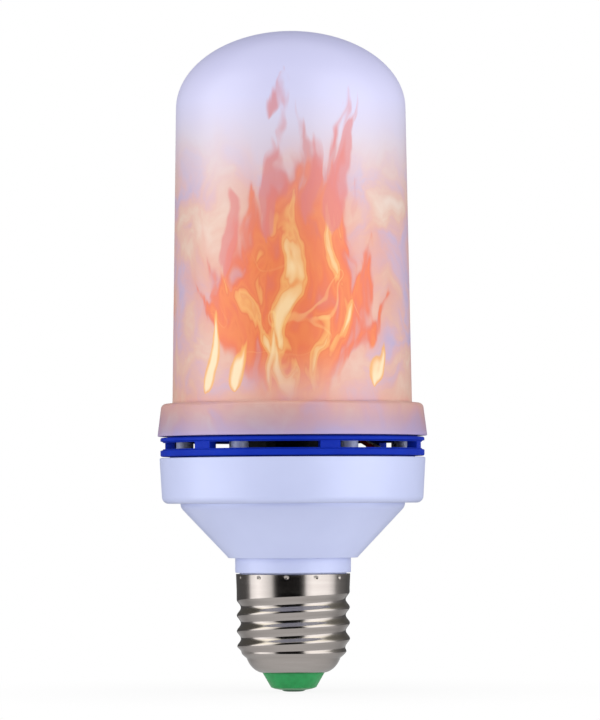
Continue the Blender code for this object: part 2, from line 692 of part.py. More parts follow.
def top_led_board():
    white = material("top_board", (0.8, 0.8, 0.78), 0.5)
    high = TOP_BOARD_Z + TOP_BOARD_THICKNESS
    profile = [(0.0, high), (TOP_BOARD_RADIUS, high), (TOP_BOARD_RADIUS, TOP_BOARD_Z), (0.0, TOP_BOARD_Z)]
    board = turned("top_led_board", profile, white, CORE_SIDES)
    z = high - LIGHT_BITE + (LIGHT_HEIGHT + LIGHT_BITE) / 2
    places = [Matrix.Translation((0, 0, z))]
    places += [facing(tau * n / TOP_LIGHT_COUNT, TOP_LIGHT_CIRCLE, z) for n in range(TOP_LIGHT_COUNT)]
    size = (LIGHT_LENGTH, LIGHT_WIDTH, LIGHT_HEIGHT + LIGHT_BITE)
    combine(board, boxes("top_lights", size, places), "UNION")


# The board drops over the posts, which lie in half-round notches in its edge.
def driver_board():
    laminate = material("board_laminate", (0.10, 0.16, 0.09), 0.45)
    notch = POST_RADIUS + HOLE_CLEARANCE
    reach = (BOARD_RADIUS ** 2 + POST_CIRCLE ** 2 - notch ** 2) / (2 * POST_CIRCLE)
    half = (BOARD_RADIUS ** 2 - reach ** 2) ** 0.5
    mouth = atan2(half, reach)
    turn = atan2(half, reach - POST_CIRCLE)
    edge_steps = 5
    notch_steps = 6
    outline = []
    for angle in post_angles():
        centre = around(POST_CIRCLE, angle)
        for step in range(notch_steps + 1):
            side = turn + (tau - 2 * turn) * step / notch_steps
            outline.append(centre + around(notch, angle - side))
        first = angle + mouth
        last = angle + tau / POST_COUNT - mouth
        for step in range(1, edge_steps):
            outline.append(around(BOARD_RADIUS, first + (last - first) * step / edge_steps))
    plate("driver_board", outline, BOARD_Z, BOARD_TOP_Z, laminate)


def hang(thing, place):
    # below the driver board, its own top at the board's underside
    thing.location = place + Vector((0, 0, BOARD_Z - SEAT_GAP))


# An electrolytic can, hanging base up: a rolled groove near its base and a rounded far edge.
def can(name, radius, length, finish, place):
    groove = radius * CAN_GROOVE
    neck = length * CAN_NECK
    profile = [
        (0.0, 0.0),
        (radius - groove, 0.0),
        (radius, -groove),
        (radius, -neck + groove),
        (radius - groove, -neck),
        (radius, -neck - groove),
        (radius, -length + groove),
        (radius - groove, -length),
        (0.0, -length),
    ]
    hang(turned(name, profile, finish, SMALL_SIDES), place)


def choke(place):
    ferrite = material("choke_ferrite", (0.06, 0.06, 0.06), 0.6)
    copper = material("choke_copper", (0.72, 0.28, 0.12), 0.3, 0.9)
    profile = [
        (0.0, 0.0),
        (CHOKE_RADIUS, 0.0),
        (CHOKE_RADIUS, -CHOKE_FLANGE),
        (CHOKE_WAIST_RADIUS, -CHOKE_FLANGE),
        (CHOKE_WAIST_RADIUS, CHOKE_FLANGE - CHOKE_LENGTH),
        (CHOKE_RADIUS, CHOKE_FLANGE - CHOKE_LENGTH),
        (CHOKE_RADIUS, -CHOKE_LENGTH),
        (0.0, -CHOKE_LENGTH),
    ]
    hang(turned("choke_core", profile, ferrite, SMALL_SIDES), place)
    high = -CHOKE_FLANGE - SEAT_GAP
    low = CHOKE_FLANGE - CHOKE_LENGTH + SEAT_GAP
    inner = CHOKE_WAIST_RADIUS + SEAT_GAP
    outer = CHOKE_RADIUS - SEAT_GAP
    winding = [(outer, high), (outer, low), (inner, low), (inner, high)]
    hang(turned("choke_winding", winding, copper, SMALL_SIDES, closed=True), place)


def fuse_resistor(place):
    blue = material("resistor_coat", (0.25, 0.45, 0.55), 0.4)
    waist = FUSE_RADIUS * FUSE_WAIST
    end = FUSE_LENGTH * FUSE_END
    profile = [
        (0.0, 0.0),
        (waist, 0.0),
        (FUSE_RADIUS, -end / 2),
        (waist, -end),
        (waist, end - FUSE_LENGTH),
        (FUSE_RADIUS, end / 2 - FUSE_LENGTH),
        (waist, -FUSE_LENGTH),
        (0.0, -FUSE_LENGTH),
    ]
    hang(turned("fuse_resistor", profile, blue, SLIM_SIDES), place)


# A moulded package on top of the board.
def package(name, size, angle):
    black = material(name + "_resin", (0.03, 0.03, 0.035), 0.5)
    mesh = bpy.data.meshes.new(name)
    shape = bmesh.new()
    bmesh.ops.create_cube(shape, size=1.0, matrix=Matrix.Diagonal((*size, 1.0)))
    shape.to_mesh(mesh)
    shape.free()
    chip = add_object(name, mesh, black)
    chip.location = around(CHIP_OFFSET, angle, BOARD_TOP_Z + SEAT_GAP + size[2] / 2)
    chip.rotation_euler.z = angle
    bevel = chip.modifiers.new("edges", "BEVEL")
    bevel.width = PACKAGE_BEVEL
    bevel.segments = 1


# A wire is a round tube on a smooth curve through its waypoints.
def wire(name, waypoints, colour):
    coat = material(name + "_coat", colour, 0.4)
    points = [Vector(place) for place in waypoints]
    ends = [2 * points[0] - points[1], *points, 2 * points[-1] - points[-2]]
    route = []
    steps = 3
    for n in range(len(points) - 1):
        before, here, there, after = ends[n:n + 4]
        for step in range(steps):
            t = step / steps
            pull = (there - before) * t + (2 * before - 5 * here + 4 * there - after) * t ** 2
            route.append(here + (pull + (3 * here - before - 3 * there + after) * t ** 3) / 2)
    route.append(points[-1])
    curve = bpy.data.curves.new(name, "CURVE")
    curve.dimensions = "3D"
    curve.bevel_depth = WIRE_RADIUS
    curve.bevel_resolution = 1
    curve.use_fill_caps = True
    spline = curve.splines.new("POLY")
    spline.points.add(len(route) - 1)
    for point, place in zip(spline.points, route):
        point.co = (*place, 1.0)
    add_object(name, curve, coat)


def wires():
    under_board = BOARD_Z - SEAT_GAP
    shank_top = NECK_TIP_Z - SEAT_GAP + CONTACT_SHANK_PROUD
    middle = (NECK_TIP_Z + CONE_Z) / 2
    side = NECK_BORE - 4 * WIRE_RADIUS
    wire("live_wire", [
        (0, 0, shank_top + SEAT_GAP),
        (0, 0, shank_top + 3 * WIRE_RADIUS),
        around(side / 2, radians(15), shank_top + 8 * WIRE_RADIUS),
        around(side, radians(20), middle),
        around(side, radians(20), CONE_Z),
        around(side + 6 * WIRE_RADIUS, radians(12), (CONE_Z + BOARD_Z) / 2),
        around(side + 10 * WIRE_RADIUS, radians(8), under_board),
    ], (0.55, 0.03, 0.02))

    notch_z = NECK_TIP_Z + NECK_NOTCH_HEIGHT / 2
    wire("neutral_wire", [
        around(THREAD_BORE - 2 * SEAT_GAP, NECK_NOTCH_ANGLE, notch_z),
        around(NECK_BORE, NECK_NOTCH_ANGLE, notch_z),
        around(side, NECK_NOTCH_ANGLE, notch_z + 4 * WIRE_RADIUS),
        around(side, NECK_NOTCH_ANGLE, middle),
        around(side, NECK_NOTCH_ANGLE, CONE_Z),
        around(side + 6 * WIRE_RADIUS, NECK_NOTCH_ANGLE, (CONE_Z + BOARD_Z) / 2),
        around(side + 12 * WIRE_RADIUS, NECK_NOTCH_ANGLE, under_board),
    ], (0.75, 0.75, 0.75))

    # from the board's edge they rise behind a slot and turn in to the holes in the flange
    colours = [(0.60, 0.03, 0.02), (0.78, 0.78, 0.76)]
    board_edge = BOARD_RADIUS - 6 * WIRE_RADIUS
    for name, angle, colour in zip(("positive", "negative"), led_wire_angles(), colours):
        lead = angle - LED_WIRE_LEAD
        wire("led_wire_" + name, [
            around(board_edge, lead - radians(6), BOARD_TOP_Z + SEAT_GAP),
            around(board_edge, lead - radians(4), BOARD_TOP_Z + 6 * WIRE_RADIUS),
            around(board_edge, lead, SLOT_Z - 4 * WIRE_RADIUS),
            around((board_edge + LED_WIRE_CIRCLE) / 2, (lead + angle) / 2, SLOT_Z),
            around(LED_WIRE_CIRCLE, angle, FLANGE_Z - 2 * WIRE_RADIUS),
            around(LED_WIRE_CIRCLE, angle, FLANGE_TOP_Z + WIRE_RADIUS),
            around(SHEET_RADIUS + SEAT_GAP + WIRE_RADIUS, angle, FLANGE_TOP_Z + 5 * WIRE_RADIUS),
        ], colour)


def driver_parts():
    sleeve = material("can_sleeve", (0.03, 0.03, 0.05), 0.35)
    input_place = around(INPUT_CAN_OFFSET, INPUT_CAN_ANGLE)
    output_place = around(OUTPUT_CAN_OFFSET, OUTPUT_CAN_ANGLE)
    can("input_capacitor", INPUT_CAN_RADIUS, INPUT_CAN_LENGTH, sleeve, input_place)
    can("output_capacitor", OUTPUT_CAN_RADIUS, OUTPUT_CAN_LENGTH, sleeve, output_place)
    choke(around(CHOKE_OFFSET, CHOKE_ANGLE))
    fuse_resistor(around(FUSE_OFFSET, FUSE_ANGLE))
    package("bridge_rectifier", BRIDGE_SIZE, BRIDGE_ANGLE)
    package("driver_chip", DRIVER_CHIP_SIZE, DRIVER_CHIP_ANGLE)
    package("flame_chip", FLAME_CHIP_SIZE, FLAME_CHIP_ANGLE)


clear_scene()
centre_contact()
insulator()
screw_cap()
housing()
vent_ring()
diffuser()
led_core()
fixing_screws()
led_sheet()
top_led_board()
driver_board()
driver_parts()
wires()
axis = bpy.data.objects.new("lamp_axis", None)
lamp.objects.link(axis)
for piece in list(lamp.objects):
    if piece is not axis:
        piece.parent = axis
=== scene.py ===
import bmesh
import bpy
from math import atan2, cos, hypot, pi, radians, sin, tau
from mathutils import Matrix, Vector


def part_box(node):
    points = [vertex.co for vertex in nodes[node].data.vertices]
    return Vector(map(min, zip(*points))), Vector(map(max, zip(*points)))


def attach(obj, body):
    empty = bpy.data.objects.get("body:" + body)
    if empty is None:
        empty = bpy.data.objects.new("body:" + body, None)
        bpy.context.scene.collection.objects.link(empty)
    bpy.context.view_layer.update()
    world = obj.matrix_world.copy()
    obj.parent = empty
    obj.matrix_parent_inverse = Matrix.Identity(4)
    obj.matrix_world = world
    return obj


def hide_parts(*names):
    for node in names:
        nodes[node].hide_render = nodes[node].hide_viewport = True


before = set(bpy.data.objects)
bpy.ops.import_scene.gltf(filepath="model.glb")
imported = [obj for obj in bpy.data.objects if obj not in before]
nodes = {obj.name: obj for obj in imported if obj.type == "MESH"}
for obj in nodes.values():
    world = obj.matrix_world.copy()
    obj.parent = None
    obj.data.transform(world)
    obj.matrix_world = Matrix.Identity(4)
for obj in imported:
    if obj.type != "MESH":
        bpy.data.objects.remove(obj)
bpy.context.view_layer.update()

mm = 0.001
print("frame loaded:", len(nodes), "solids")


def linear(code):
    # sRGB hex to the linear colour that a socket takes
    parts = [int(code[n:n + 2], 16) / 255 for n in (1, 3, 5)]
    return (*[c / 12.92 if c <= 0.04045 else ((c + 0.055) / 1.055) ** 2.4 for c in parts], 1.0)


def addNode(tree, kind, inputs=None, stops=(), **settings):
    # a node with its settings and a ramp's stops; each input is a value or a link from another node
    node = tree.nodes.new(kind)
    for name, value in settings.items():
        setattr(node, name, value)
    for count, (place, colour) in enumerate(stops):
        if count > 1:
            node.color_ramp.elements.new(1.0)
        element = node.color_ramp.elements[count]
        element.position = place
        element.color = linear(colour) if isinstance(colour, str) else colour
    for name, value in (inputs or {}).items():
        if isinstance(value, bpy.types.Node):
            value = value.outputs[0]
        if isinstance(value, bpy.types.NodeSocket):
            tree.links.new(value, node.inputs[name])
        else:
            node.inputs[name].default_value = value
    return node


def startMaterial(name, **values):
    # a new material; the values go to its shader's sockets, with _ for each space
    material = bpy.data.materials.new(name)
    material.use_nodes = True
    tree = material.node_tree
    shader = tree.nodes["Principled BSDF"]
    for socket, value in values.items():
        shader.inputs[socket.replace("_", " ")].default_value = value
    return material, tree, shader


def grained(name, stops, grain, surface=None, bump=0.1, detail=3.0, **values):
    # a finish whose colour follows a grain, and its surface the same one or a finer one; sizes in mm
    material, tree, shader = startMaterial(name, **values)
    place = addNode(tree, "ShaderNodeTexCoord").outputs["Object"]
    pattern = addNode(tree, "ShaderNodeTexNoise", {
        "Vector": place, "Scale": 1 / (grain * mm), "Detail": detail})
    tint = addNode(tree, "ShaderNodeValToRGB", {"Fac": pattern}, stops=stops)
    if surface:
        pattern = addNode(tree, "ShaderNodeTexNoise", {
            "Vector": place, "Scale": 1 / (surface * mm), "Detail": 2.0})
    relief = addNode(tree, "ShaderNodeBump", {"Height": pattern, "Strength": bump, "Distance": 0.1 * mm})
    tree.links.new(tint.outputs[0], shader.inputs["Base Color"])
    tree.links.new(relief.outputs[0], shader.inputs["Normal"])
    return material, tree, shader, tint, place


def arcPoints(centre, radii, start, end, steps):
    # a round or elliptical arc in a profile, in degrees from outwards to up
    wide, tall = radii if isinstance(radii, tuple) else (radii, radii)
    turns = [radians(start + (end - start) * n / steps) for n in range(steps + 1)]
    return [(centre[0] + wide * cos(t), centre[1] + tall * sin(t)) for t in turns]


def spinProfile(points, steps, closed=True, startAngle=0.0):
    # a profile of (radius, height) in mm, turned once round the lamp's axis
    shape = bmesh.new()
    across, along = cos(startAngle), sin(startAngle)
    verts = [shape.verts.new((r * mm * across, r * mm * along, z * mm)) for r, z in points]
    edges = [shape.edges.new(pair) for pair in zip(verts, verts[1:])]
    if closed:
        edges.append(shape.edges.new((verts[-1], verts[0])))
    bmesh.ops.spin(
        shape, geom=verts + edges, cent=(0, 0, 0), axis=(0, 0, 1), dvec=(0, 0, 0),
        angle=tau, steps=steps, use_merge=True, use_duplicate=False)
    bmesh.ops.remove_doubles(shape, verts=shape.verts, dist=0.001 * mm)
    bmesh.ops.recalc_face_normals(shape, faces=shape.faces)
    return shape


def finishPiece(shape, name, material, replaced, sharp=35):
    mesh = bpy.data.meshes.new(name)
    shape.to_mesh(mesh)
    shape.free()
    mesh.materials.append(material)
    mesh.shade_smooth()
    mesh.set_sharp_from_angle(angle=radians(sharp))
    piece = bpy.data.objects.new(name, mesh)
    bpy.context.scene.collection.objects.link(piece)
    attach(piece, "root")
    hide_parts(replaced)
    return piece


def frontAngle(point):
    # degrees round the lamp from the front, turning towards +X
    return atan2(point.x, -point.y) * 180 / pi


diffuser = {
    "bottom": 59.3, "skirtTop": 66.9, "tubeTop": 135.6, "top": 153.6, "wall": 1.6,
    "skirtRadius": 31.35, "skirtTopRadius": 30.55, "corner": 1.2, "fillet": 0.4, "lip": 0.2,
    "tubeFoot": 27.85, "tubeTopRadius": 26.75, "tubeBands": 6, "steps": 192,
}
# Opal polycarbonate with a flame picture: a milky, softly glossy body in which the colours seem
# to float, three flames round the tube, and the tips die away into plain lavender under the dome.
flame = {
    "spread": 33.5,                  # mm of picture for each radian at the front
    "flames": 3,
    "crowd": 0.2,                    # draws the front flame wider and the two others back from the sides
    "swirls": ((28.0, 14.0), (10.0, 8.0), (4.2, 2.6)),     # size and reach of each, mm
    "tall": 0.55,                    # under 1, swirls are drawn out upwards
    "bodies": (                      # root across, foot height, tip across, top height, half width
        (0, 62, 2, 136, 10), (-4, 68, -11, 120, 6.5), (6, 66, 11, 138, 7), (-3, 70, -21, 104, 6),
        (5, 70, 21, 102, 6), (1, 62, 0, 96, 10), (7, 72, 26, 90, 3.5), (-5, 74, -25, 94, 4)),
    "cores": (
        (-2, 80, 0, 129, 3.3), (6, 88, 10, 117, 2.0), (-4, 78, -18, 103, 2.4), (-6, 68, -2, 93, 1.8),
        (7, 66, 4, 92, 1.8), (8, 80, 18, 99, 1.6), (0, 64, -4, 84, 1.8)),
    "tips": (
        (-6, 133, -3, 142, 1.9), (9, 125, 13, 141, 2.4), (-6, 106, -3, 138, 3.2), (3, 108, 5, 133, 2.6),
        (10, 106, 15, 138, 4.0), (16, 104, 18, 122, 1.8), (-13, 95, -15, 117, 2.2)),
    "slivers": ((-21, 70, -17, 87, 2.4), (-14, 70, -11, 83, 2.0), (19, 71, 22, 80, 1.5)),
    "blend": {"bodies": 2.0, "cores": 0.8, "tips": 0.5, "slivers": 0.5},    # how softly they join, mm
    "ragged": {"tips": 9.0, "slivers": 4.0},       # how far streaks tear their edges, mm
    "belly": 0.6,                    # under 1, tongues are widest below their middle
    "ending": 0.7,                   # how fast a tongue stops beyond its foot and top
    "streak": (3.6, 17.0),           # across and along each streak of colour, mm
    "tear": 8.0,                     # how far streaks tear the fire's edge, mm
    "curl": (15.0, 0.011),           # size of the thin curling lines, mm, and their width in noise
    "cloud": 15.0,
    "flat": 1.35,                    # over 1, clouds are wider than tall
    "glow": 0.05,
    # where each share or heat rises or falls, by height or by mm inside the fire, and its values there
    "cloudTop": {"From Min": 134.0, "From Max": 106.0, "To Max": 0.85},
    "cloudFoot": {"From Min": 60.0, "From Max": 76.0, "To Min": 0.22},
    "halo": {"From Min": -7.0, "From Max": 1.0, "To Max": 0.6},
    "haloTop": {"From Min": 130.0, "From Max": 106.0},
    "haloFoot": {"From Min": 64.0, "From Max": 78.0, "To Min": 0.15},
    "mask": {"From Min": 3.4, "From Max": 5.4},
    "edge": {"From Min": 3.4, "From Max": 7.5, "To Min": -0.24, "To Max": 0.0},
    "depth": {"From Max": 11.0, "To Max": 0.2},
    "heart": {"From Min": -0.2, "From Max": 2.0, "To Max": 0.4},
    "cooler": {"From Min": 112.0, "From Max": 136.0, "To Min": -0.36, "To Max": -0.74},
    "fireFoot": {"From Min": 64.0, "From Max": 80.0, "To Max": 0.92},
    "fireTop": {"From Min": 98.0, "From Max": 118.0, "To Min": 1.0, "To Max": 0.78},
    "curlNear": {"From Min": 1.0, "From Max": 6.0},
    "curlTop": {"From Min": 106.0, "From Max": 88.0},
    "curlFoot": {"From Min": 76.0, "From Max": 88.0},
    "curlMost": 0.34,
    "streakHeat": 1.35,
    "plainHues": (                   # up the moulding: warm at the tube's foot, lavender in the dome
        # the stop at 0.085 paints a lighter band on the fillet at the tube's foot: a painted highlight
        # against the shade in that corner
        (0.0, "#a79bce"), (0.012, "#a694b9"), (0.04, "#ac8ba1"), (0.07, "#bd8a8e"), (0.085, "#e0a598"),
        (0.1, "#d8a393"), (0.2, "#d0a6a2"), (0.32, "#d8b4ac"), (0.42, "#dcb0a5"), (0.52, "#e0b8b1"),
        (0.62, "#e0cad0"), (0.72, "#dbd2e4"), (0.82, "#d7d6f6"), (1.0, "#d5d6ff")),
    "cloudHues": (                   # blue-grey, mauve, peach and cream
        (0.32, "#b9afd6"), (0.41, "#ccb2cc"), (0.48, "#dbb0b6"), (0.55, "#e3b8a9"), (0.62, "#e5c6b5"),
        (0.72, "#ead6c8")),
    "fireHues": (                    # from the cool edge to the heart
        (0.0, "#d18a8c"), (0.12, "#da8072"), (0.24, "#e06e50"), (0.36, "#e7713e"), (0.49, "#ea7d3f"),
        (0.56, "#e5733b"), (0.61, "#ec944c"), (0.70, "#efaa5e"), (0.75, "#ea9850"), (0.80, "#eeb876"),
        (0.97, "#f4d29c")),
    "haloHue": "#e2a08e",
    "curlHue": "#f7cf86",
    "overlays": (                    # mm inside where each starts and is full, its share and its colour
        ("tips", 0.1, 1.8, 0.72, "#da7f7e"), ("slivers", 0.05, 0.6, 0.85, "#efae5e"),
        ("slivers", 0.5, 1.5, 0.82, "#fbe9c4")),
}


def tongueGroup():
    # one tongue of flame: how many millimetres a point lies inside its edge
    group = bpy.data.node_groups.new("flameTongue", "ShaderNodeTree")
    for name in ("across", "up", "root", "foot", "tip", "top", "width"):
        group.interface.new_socket(name, in_out="INPUT", socket_type="NodeSocketFloat")
    group.interface.new_socket("inside", in_out="OUTPUT", socket_type="NodeSocketFloat")
    given = addNode(group, "NodeGroupInput").outputs
    rise = addNode(group, "ShaderNodeMapRange", {
        "Value": given["up"], "From Min": given["foot"], "From Max": given["top"]})
    centre = addNode(group, "ShaderNodeMapRange", {
        "Value": rise, "To Min": given["root"], "To Max": given["tip"]})
    lean = addNode(group, "ShaderNodeMath", {0: rise, 1: flame["belly"]}, operation="POWER")
    halfTurn = addNode(group, "ShaderNodeMath", {0: lean, 1: pi}, operation="MULTIPLY")
    swell = addNode(group, "ShaderNodeMath", {0: halfTurn}, operation="SINE")
    half = addNode(group, "ShaderNodeMath", {0: swell, 1: given["width"]}, operation="MULTIPLY")
    offset = addNode(group, "ShaderNodeMath", {0: given["across"], 1: centre}, operation="SUBTRACT")
    away = addNode(group, "ShaderNodeMath", {0: offset}, operation="ABSOLUTE")
    inside = addNode(group, "ShaderNodeMath", {0: half, 1: away}, operation="SUBTRACT")
    above = addNode(group, "ShaderNodeMath", {0: given["up"], 1: given["top"]}, operation="SUBTRACT")
    below = addNode(group, "ShaderNodeMath", {0: given["foot"], 1: given["up"]}, operation="SUBTRACT")
    over = addNode(group, "ShaderNodeMath", {0: above, 1: below}, operation="MAXIMUM")
    over = addNode(group, "ShaderNodeMath", {0: over, 1: 0.0}, operation="MAXIMUM")
    inside = addNode(group, "ShaderNodeMath", {
        0: over, 1: -flame["ending"], 2: inside}, operation="MULTIPLY_ADD")
    addNode(group, "NodeGroupOutput", {"inside": inside})
    return group


def flameField(tree, tongue, shapes, across, up, blend):
    # the nearest of several tongues, softly joined
    field = None
    for shape in shapes:
        one = addNode(tree, "ShaderNodeGroup", node_tree=tongue)
        tree.links.new(across, one.inputs["across"])
        tree.links.new(up, one.inputs["up"])
        for name, value in zip(("root", "foot", "tip", "top", "width"), shape):
            one.inputs[name].default_value = value
        field = one if field is None else addNode(
            tree, "ShaderNodeMath", {0: field, 1: one, 2: blend}, operation="SMOOTH_MAX")
    return field


def flameOpal():
    material, tree, shader = startMaterial(
        "opalPolycarbonate", Roughness=0.34, IOR=1.58, Specular_IOR_Level=0.36)
    place = addNode(tree, "ShaderNodeTexCoord").outputs["Object"]
    position = addNode(tree, "ShaderNodeVectorMath", {0: place, "Scale": 1 / mm}, operation="SCALE")
    height = addNode(tree, "ShaderNodeSeparateXYZ", {0: position}).outputs["Z"]

    # a place in the picture, stirred by the swirls: mm across from its flame's middle, and mm up
    tall = addNode(tree, "ShaderNodeVectorMath", {
        0: position, 1: (1, 1, flame["tall"])}, operation="MULTIPLY")
    swirled = position
    for size, reach in flame["swirls"]:
        noise = addNode(tree, "ShaderNodeTexNoise", {"Vector": tall, "Scale": 1 / size, "Detail": 1.0})
        swirled = addNode(tree, "ShaderNodeVectorMath", {
            0: noise.outputs["Color"], 1: (reach,) * 3, 2: swirled}, operation="MULTIPLY_ADD")
    middle = sum(reach for size, reach in flame["swirls"]) / 2
    swirled = addNode(tree, "ShaderNodeVectorMath", {
        0: swirled, 1: (middle,) * 3}, operation="SUBTRACT")
    axes = addNode(tree, "ShaderNodeSeparateXYZ", {0: swirled}).outputs
    back = addNode(tree, "ShaderNodeMath", {0: axes["Y"], 1: -1.0}, operation="MULTIPLY")
    angle = addNode(tree, "ShaderNodeMath", {0: axes["X"], 1: back}, operation="ARCTAN2")
    sway = addNode(tree, "ShaderNodeMath", {0: angle}, operation="SINE")
    angle = addNode(tree, "ShaderNodeMath", {
        0: sway, 1: -flame["crowd"], 2: angle}, operation="MULTIPLY_ADD")
    sector = pi / flame["flames"]
    wrapped = addNode(tree, "ShaderNodeMath", {0: angle, 1: sector, 2: -sector}, operation="WRAP")
    across = addNode(tree, "ShaderNodeMath", {
        0: wrapped, 1: flame["spread"]}, operation="MULTIPLY").outputs[0]
    up = axes["Z"]
    tongue = tongueGroup()
    fields = {}
    for name, blend in flame["blend"].items():
        fields[name] = flameField(tree, tongue, flame[name], across, up, blend)

    # the plain moulding, and clouds of colour which thin out towards the dome
    level = addNode(tree, "ShaderNodeMapRange", {
        "Value": height, "From Min": diffuser["bottom"], "From Max": diffuser["top"]})
    plain = addNode(tree, "ShaderNodeValToRGB", {"Fac": level}, stops=flame["plainHues"])
    drift = addNode(tree, "ShaderNodeVectorMath", {
        0: swirled, 1: (1, 1, flame["flat"])}, operation="MULTIPLY")
    clouds = addNode(tree, "ShaderNodeTexNoise", {
        "Vector": drift, "Scale": 1 / flame["cloud"], "Detail": 4.0, "Roughness": 0.55, "Distortion": 0.4})
    hues = addNode(tree, "ShaderNodeValToRGB", {"Fac": clouds}, stops=flame["cloudHues"])
    thin = addNode(tree, "ShaderNodeMapRange", {
        "Value": up, **flame["cloudTop"]}, interpolation_type="SMOOTHSTEP")
    skirt = addNode(tree, "ShaderNodeMapRange", {"Value": height, **flame["cloudFoot"]})
    share = addNode(tree, "ShaderNodeMath", {0: thin, 1: skirt}, operation="MULTIPLY")
    under = addNode(tree, "ShaderNodeMix", {0: share, 6: plain, 7: hues}, data_type="RGBA")
    # a pink halo round the fire
    halo = addNode(tree, "ShaderNodeMapRange", {
        "Value": fields["bodies"], **flame["halo"]}, interpolation_type="SMOOTHSTEP")
    haloTop = addNode(tree, "ShaderNodeMapRange", {"Value": height, **flame["haloTop"]})
    haloFoot = addNode(tree, "ShaderNodeMapRange", {
        "Value": height, **flame["haloFoot"]}, interpolation_type="SMOOTHSTEP")
    for part in (haloTop, haloFoot):
        halo = addNode(tree, "ShaderNodeMath", {0: halo, 1: part}, operation="MULTIPLY")
    under = addNode(tree, "ShaderNodeMix", {
        0: halo, 6: under.outputs[2], 7: linear(flame["haloHue"])}, data_type="RGBA")

    # the fire: hotter towards its middle, drawn out into upright streaks and torn at its edge
    wide, long = flame["streak"]
    drawn = addNode(tree, "ShaderNodeVectorMath", {
        0: swirled, 1: (1 / wide, 1 / wide, 1 / long)}, operation="MULTIPLY")
    streaks = addNode(tree, "ShaderNodeTexNoise", {
        "Vector": drawn, "Scale": 1.0, "Detail": 2.0, "Roughness": 0.45, "Distortion": 0.3})
    torn = addNode(tree, "ShaderNodeMath", {
        0: streaks, 1: flame["tear"], 2: fields["bodies"]}, operation="MULTIPLY_ADD")
    mask = addNode(tree, "ShaderNodeMapRange", {
        "Value": torn, **flame["mask"]}, interpolation_type="SMOOTHSTEP")
    edge = addNode(tree, "ShaderNodeMapRange", {"Value": torn, **flame["edge"]})
    depth = addNode(tree, "ShaderNodeMapRange", {"Value": fields["bodies"], **flame["depth"]})
    heart = addNode(tree, "ShaderNodeMapRange", {
        "Value": fields["cores"], **flame["heart"]}, interpolation_type="SMOOTHSTEP")
    cooler = addNode(tree, "ShaderNodeMapRange", {"Value": up, **flame["cooler"]})
    heat = addNode(tree, "ShaderNodeMath", {
        0: streaks, 1: flame["streakHeat"], 2: depth}, operation="MULTIPLY_ADD")
    for part in (edge, heart, cooler):
        heat = addNode(tree, "ShaderNodeMath", {0: heat, 1: part}, operation="ADD")
    fire = addNode(tree, "ShaderNodeValToRGB", {"Fac": heat}, stops=flame["fireHues"])
    fireFoot = addNode(tree, "ShaderNodeMapRange", {
        "Value": height, **flame["fireFoot"]}, interpolation_type="SMOOTHSTEP")
    fireTop = addNode(tree, "ShaderNodeMapRange", {"Value": up, **flame["fireTop"]})
    for part in (fireFoot, fireTop):
        mask = addNode(tree, "ShaderNodeMath", {0: mask, 1: part}, operation="MULTIPLY")
    colour = addNode(tree, "ShaderNodeMix", {0: mask, 6: under.outputs[2], 7: fire}, data_type="RGBA")

    # thin bright lines that curl through its lower half, where a noise passes its middle value
    size, width = flame["curl"]
    curling = addNode(tree, "ShaderNodeTexNoise", {
        "Vector": swirled, "Scale": 1 / size, "Detail": 1.0, "Distortion": 0.4})
    away = addNode(tree, "ShaderNodeMath", {0: curling, 1: 0.5}, operation="SUBTRACT")
    away = addNode(tree, "ShaderNodeMath", {0: away}, operation="ABSOLUTE")
    line = addNode(tree, "ShaderNodeMapRange", {
        "Value": away, "From Min": width, "From Max": width / 4, "To Max": flame["curlMost"]},
        interpolation_type="SMOOTHSTEP")
    near = addNode(tree, "ShaderNodeMapRange", {
        "Value": fields["bodies"], **flame["curlNear"]}, interpolation_type="SMOOTHSTEP")
    lineTop = addNode(tree, "ShaderNodeMapRange", {"Value": up, **flame["curlTop"]})
    lineFoot = addNode(tree, "ShaderNodeMapRange", {"Value": up, **flame["curlFoot"]})
    for part in (near, lineTop, lineFoot):
        line = addNode(tree, "ShaderNodeMath", {0: line, 1: part}, operation="MULTIPLY")
    colour = addNode(tree, "ShaderNodeMix", {
        0: line, 6: colour.outputs[2], 7: linear(flame["curlHue"])}, data_type="RGBA")

    # loose tips above the fire and bright slivers beside it, both ragged along the streaks
    for name, reach in flame["ragged"].items():
        ragged = addNode(tree, "ShaderNodeMath", {
            0: streaks, 1: reach, 2: fields[name]}, operation="MULTIPLY_ADD")
        fields[name] = addNode(tree, "ShaderNodeMath", {0: ragged, 1: reach / 2}, operation="SUBTRACT")
    for name, start, full, most, code in flame["overlays"]:
        share = addNode(tree, "ShaderNodeMapRange", {
            "Value": fields[name], "From Min": start, "From Max": full, "To Max": most},
            interpolation_type="SMOOTHSTEP")
        colour = addNode(tree, "ShaderNodeMix", {
            0: share, 6: colour.outputs[2], 7: linear(code)}, data_type="RGBA")
    glow = addNode(tree, "ShaderNodeMath", {0: mask, 1: flame["glow"]}, operation="MULTIPLY")
    tree.links.new(colour.outputs[2], shader.inputs["Base Color"])
    tree.links.new(colour.outputs[2], shader.inputs["Emission Color"])
    tree.links.new(glow.outputs[0], shader.inputs["Emission Strength"])
    return material


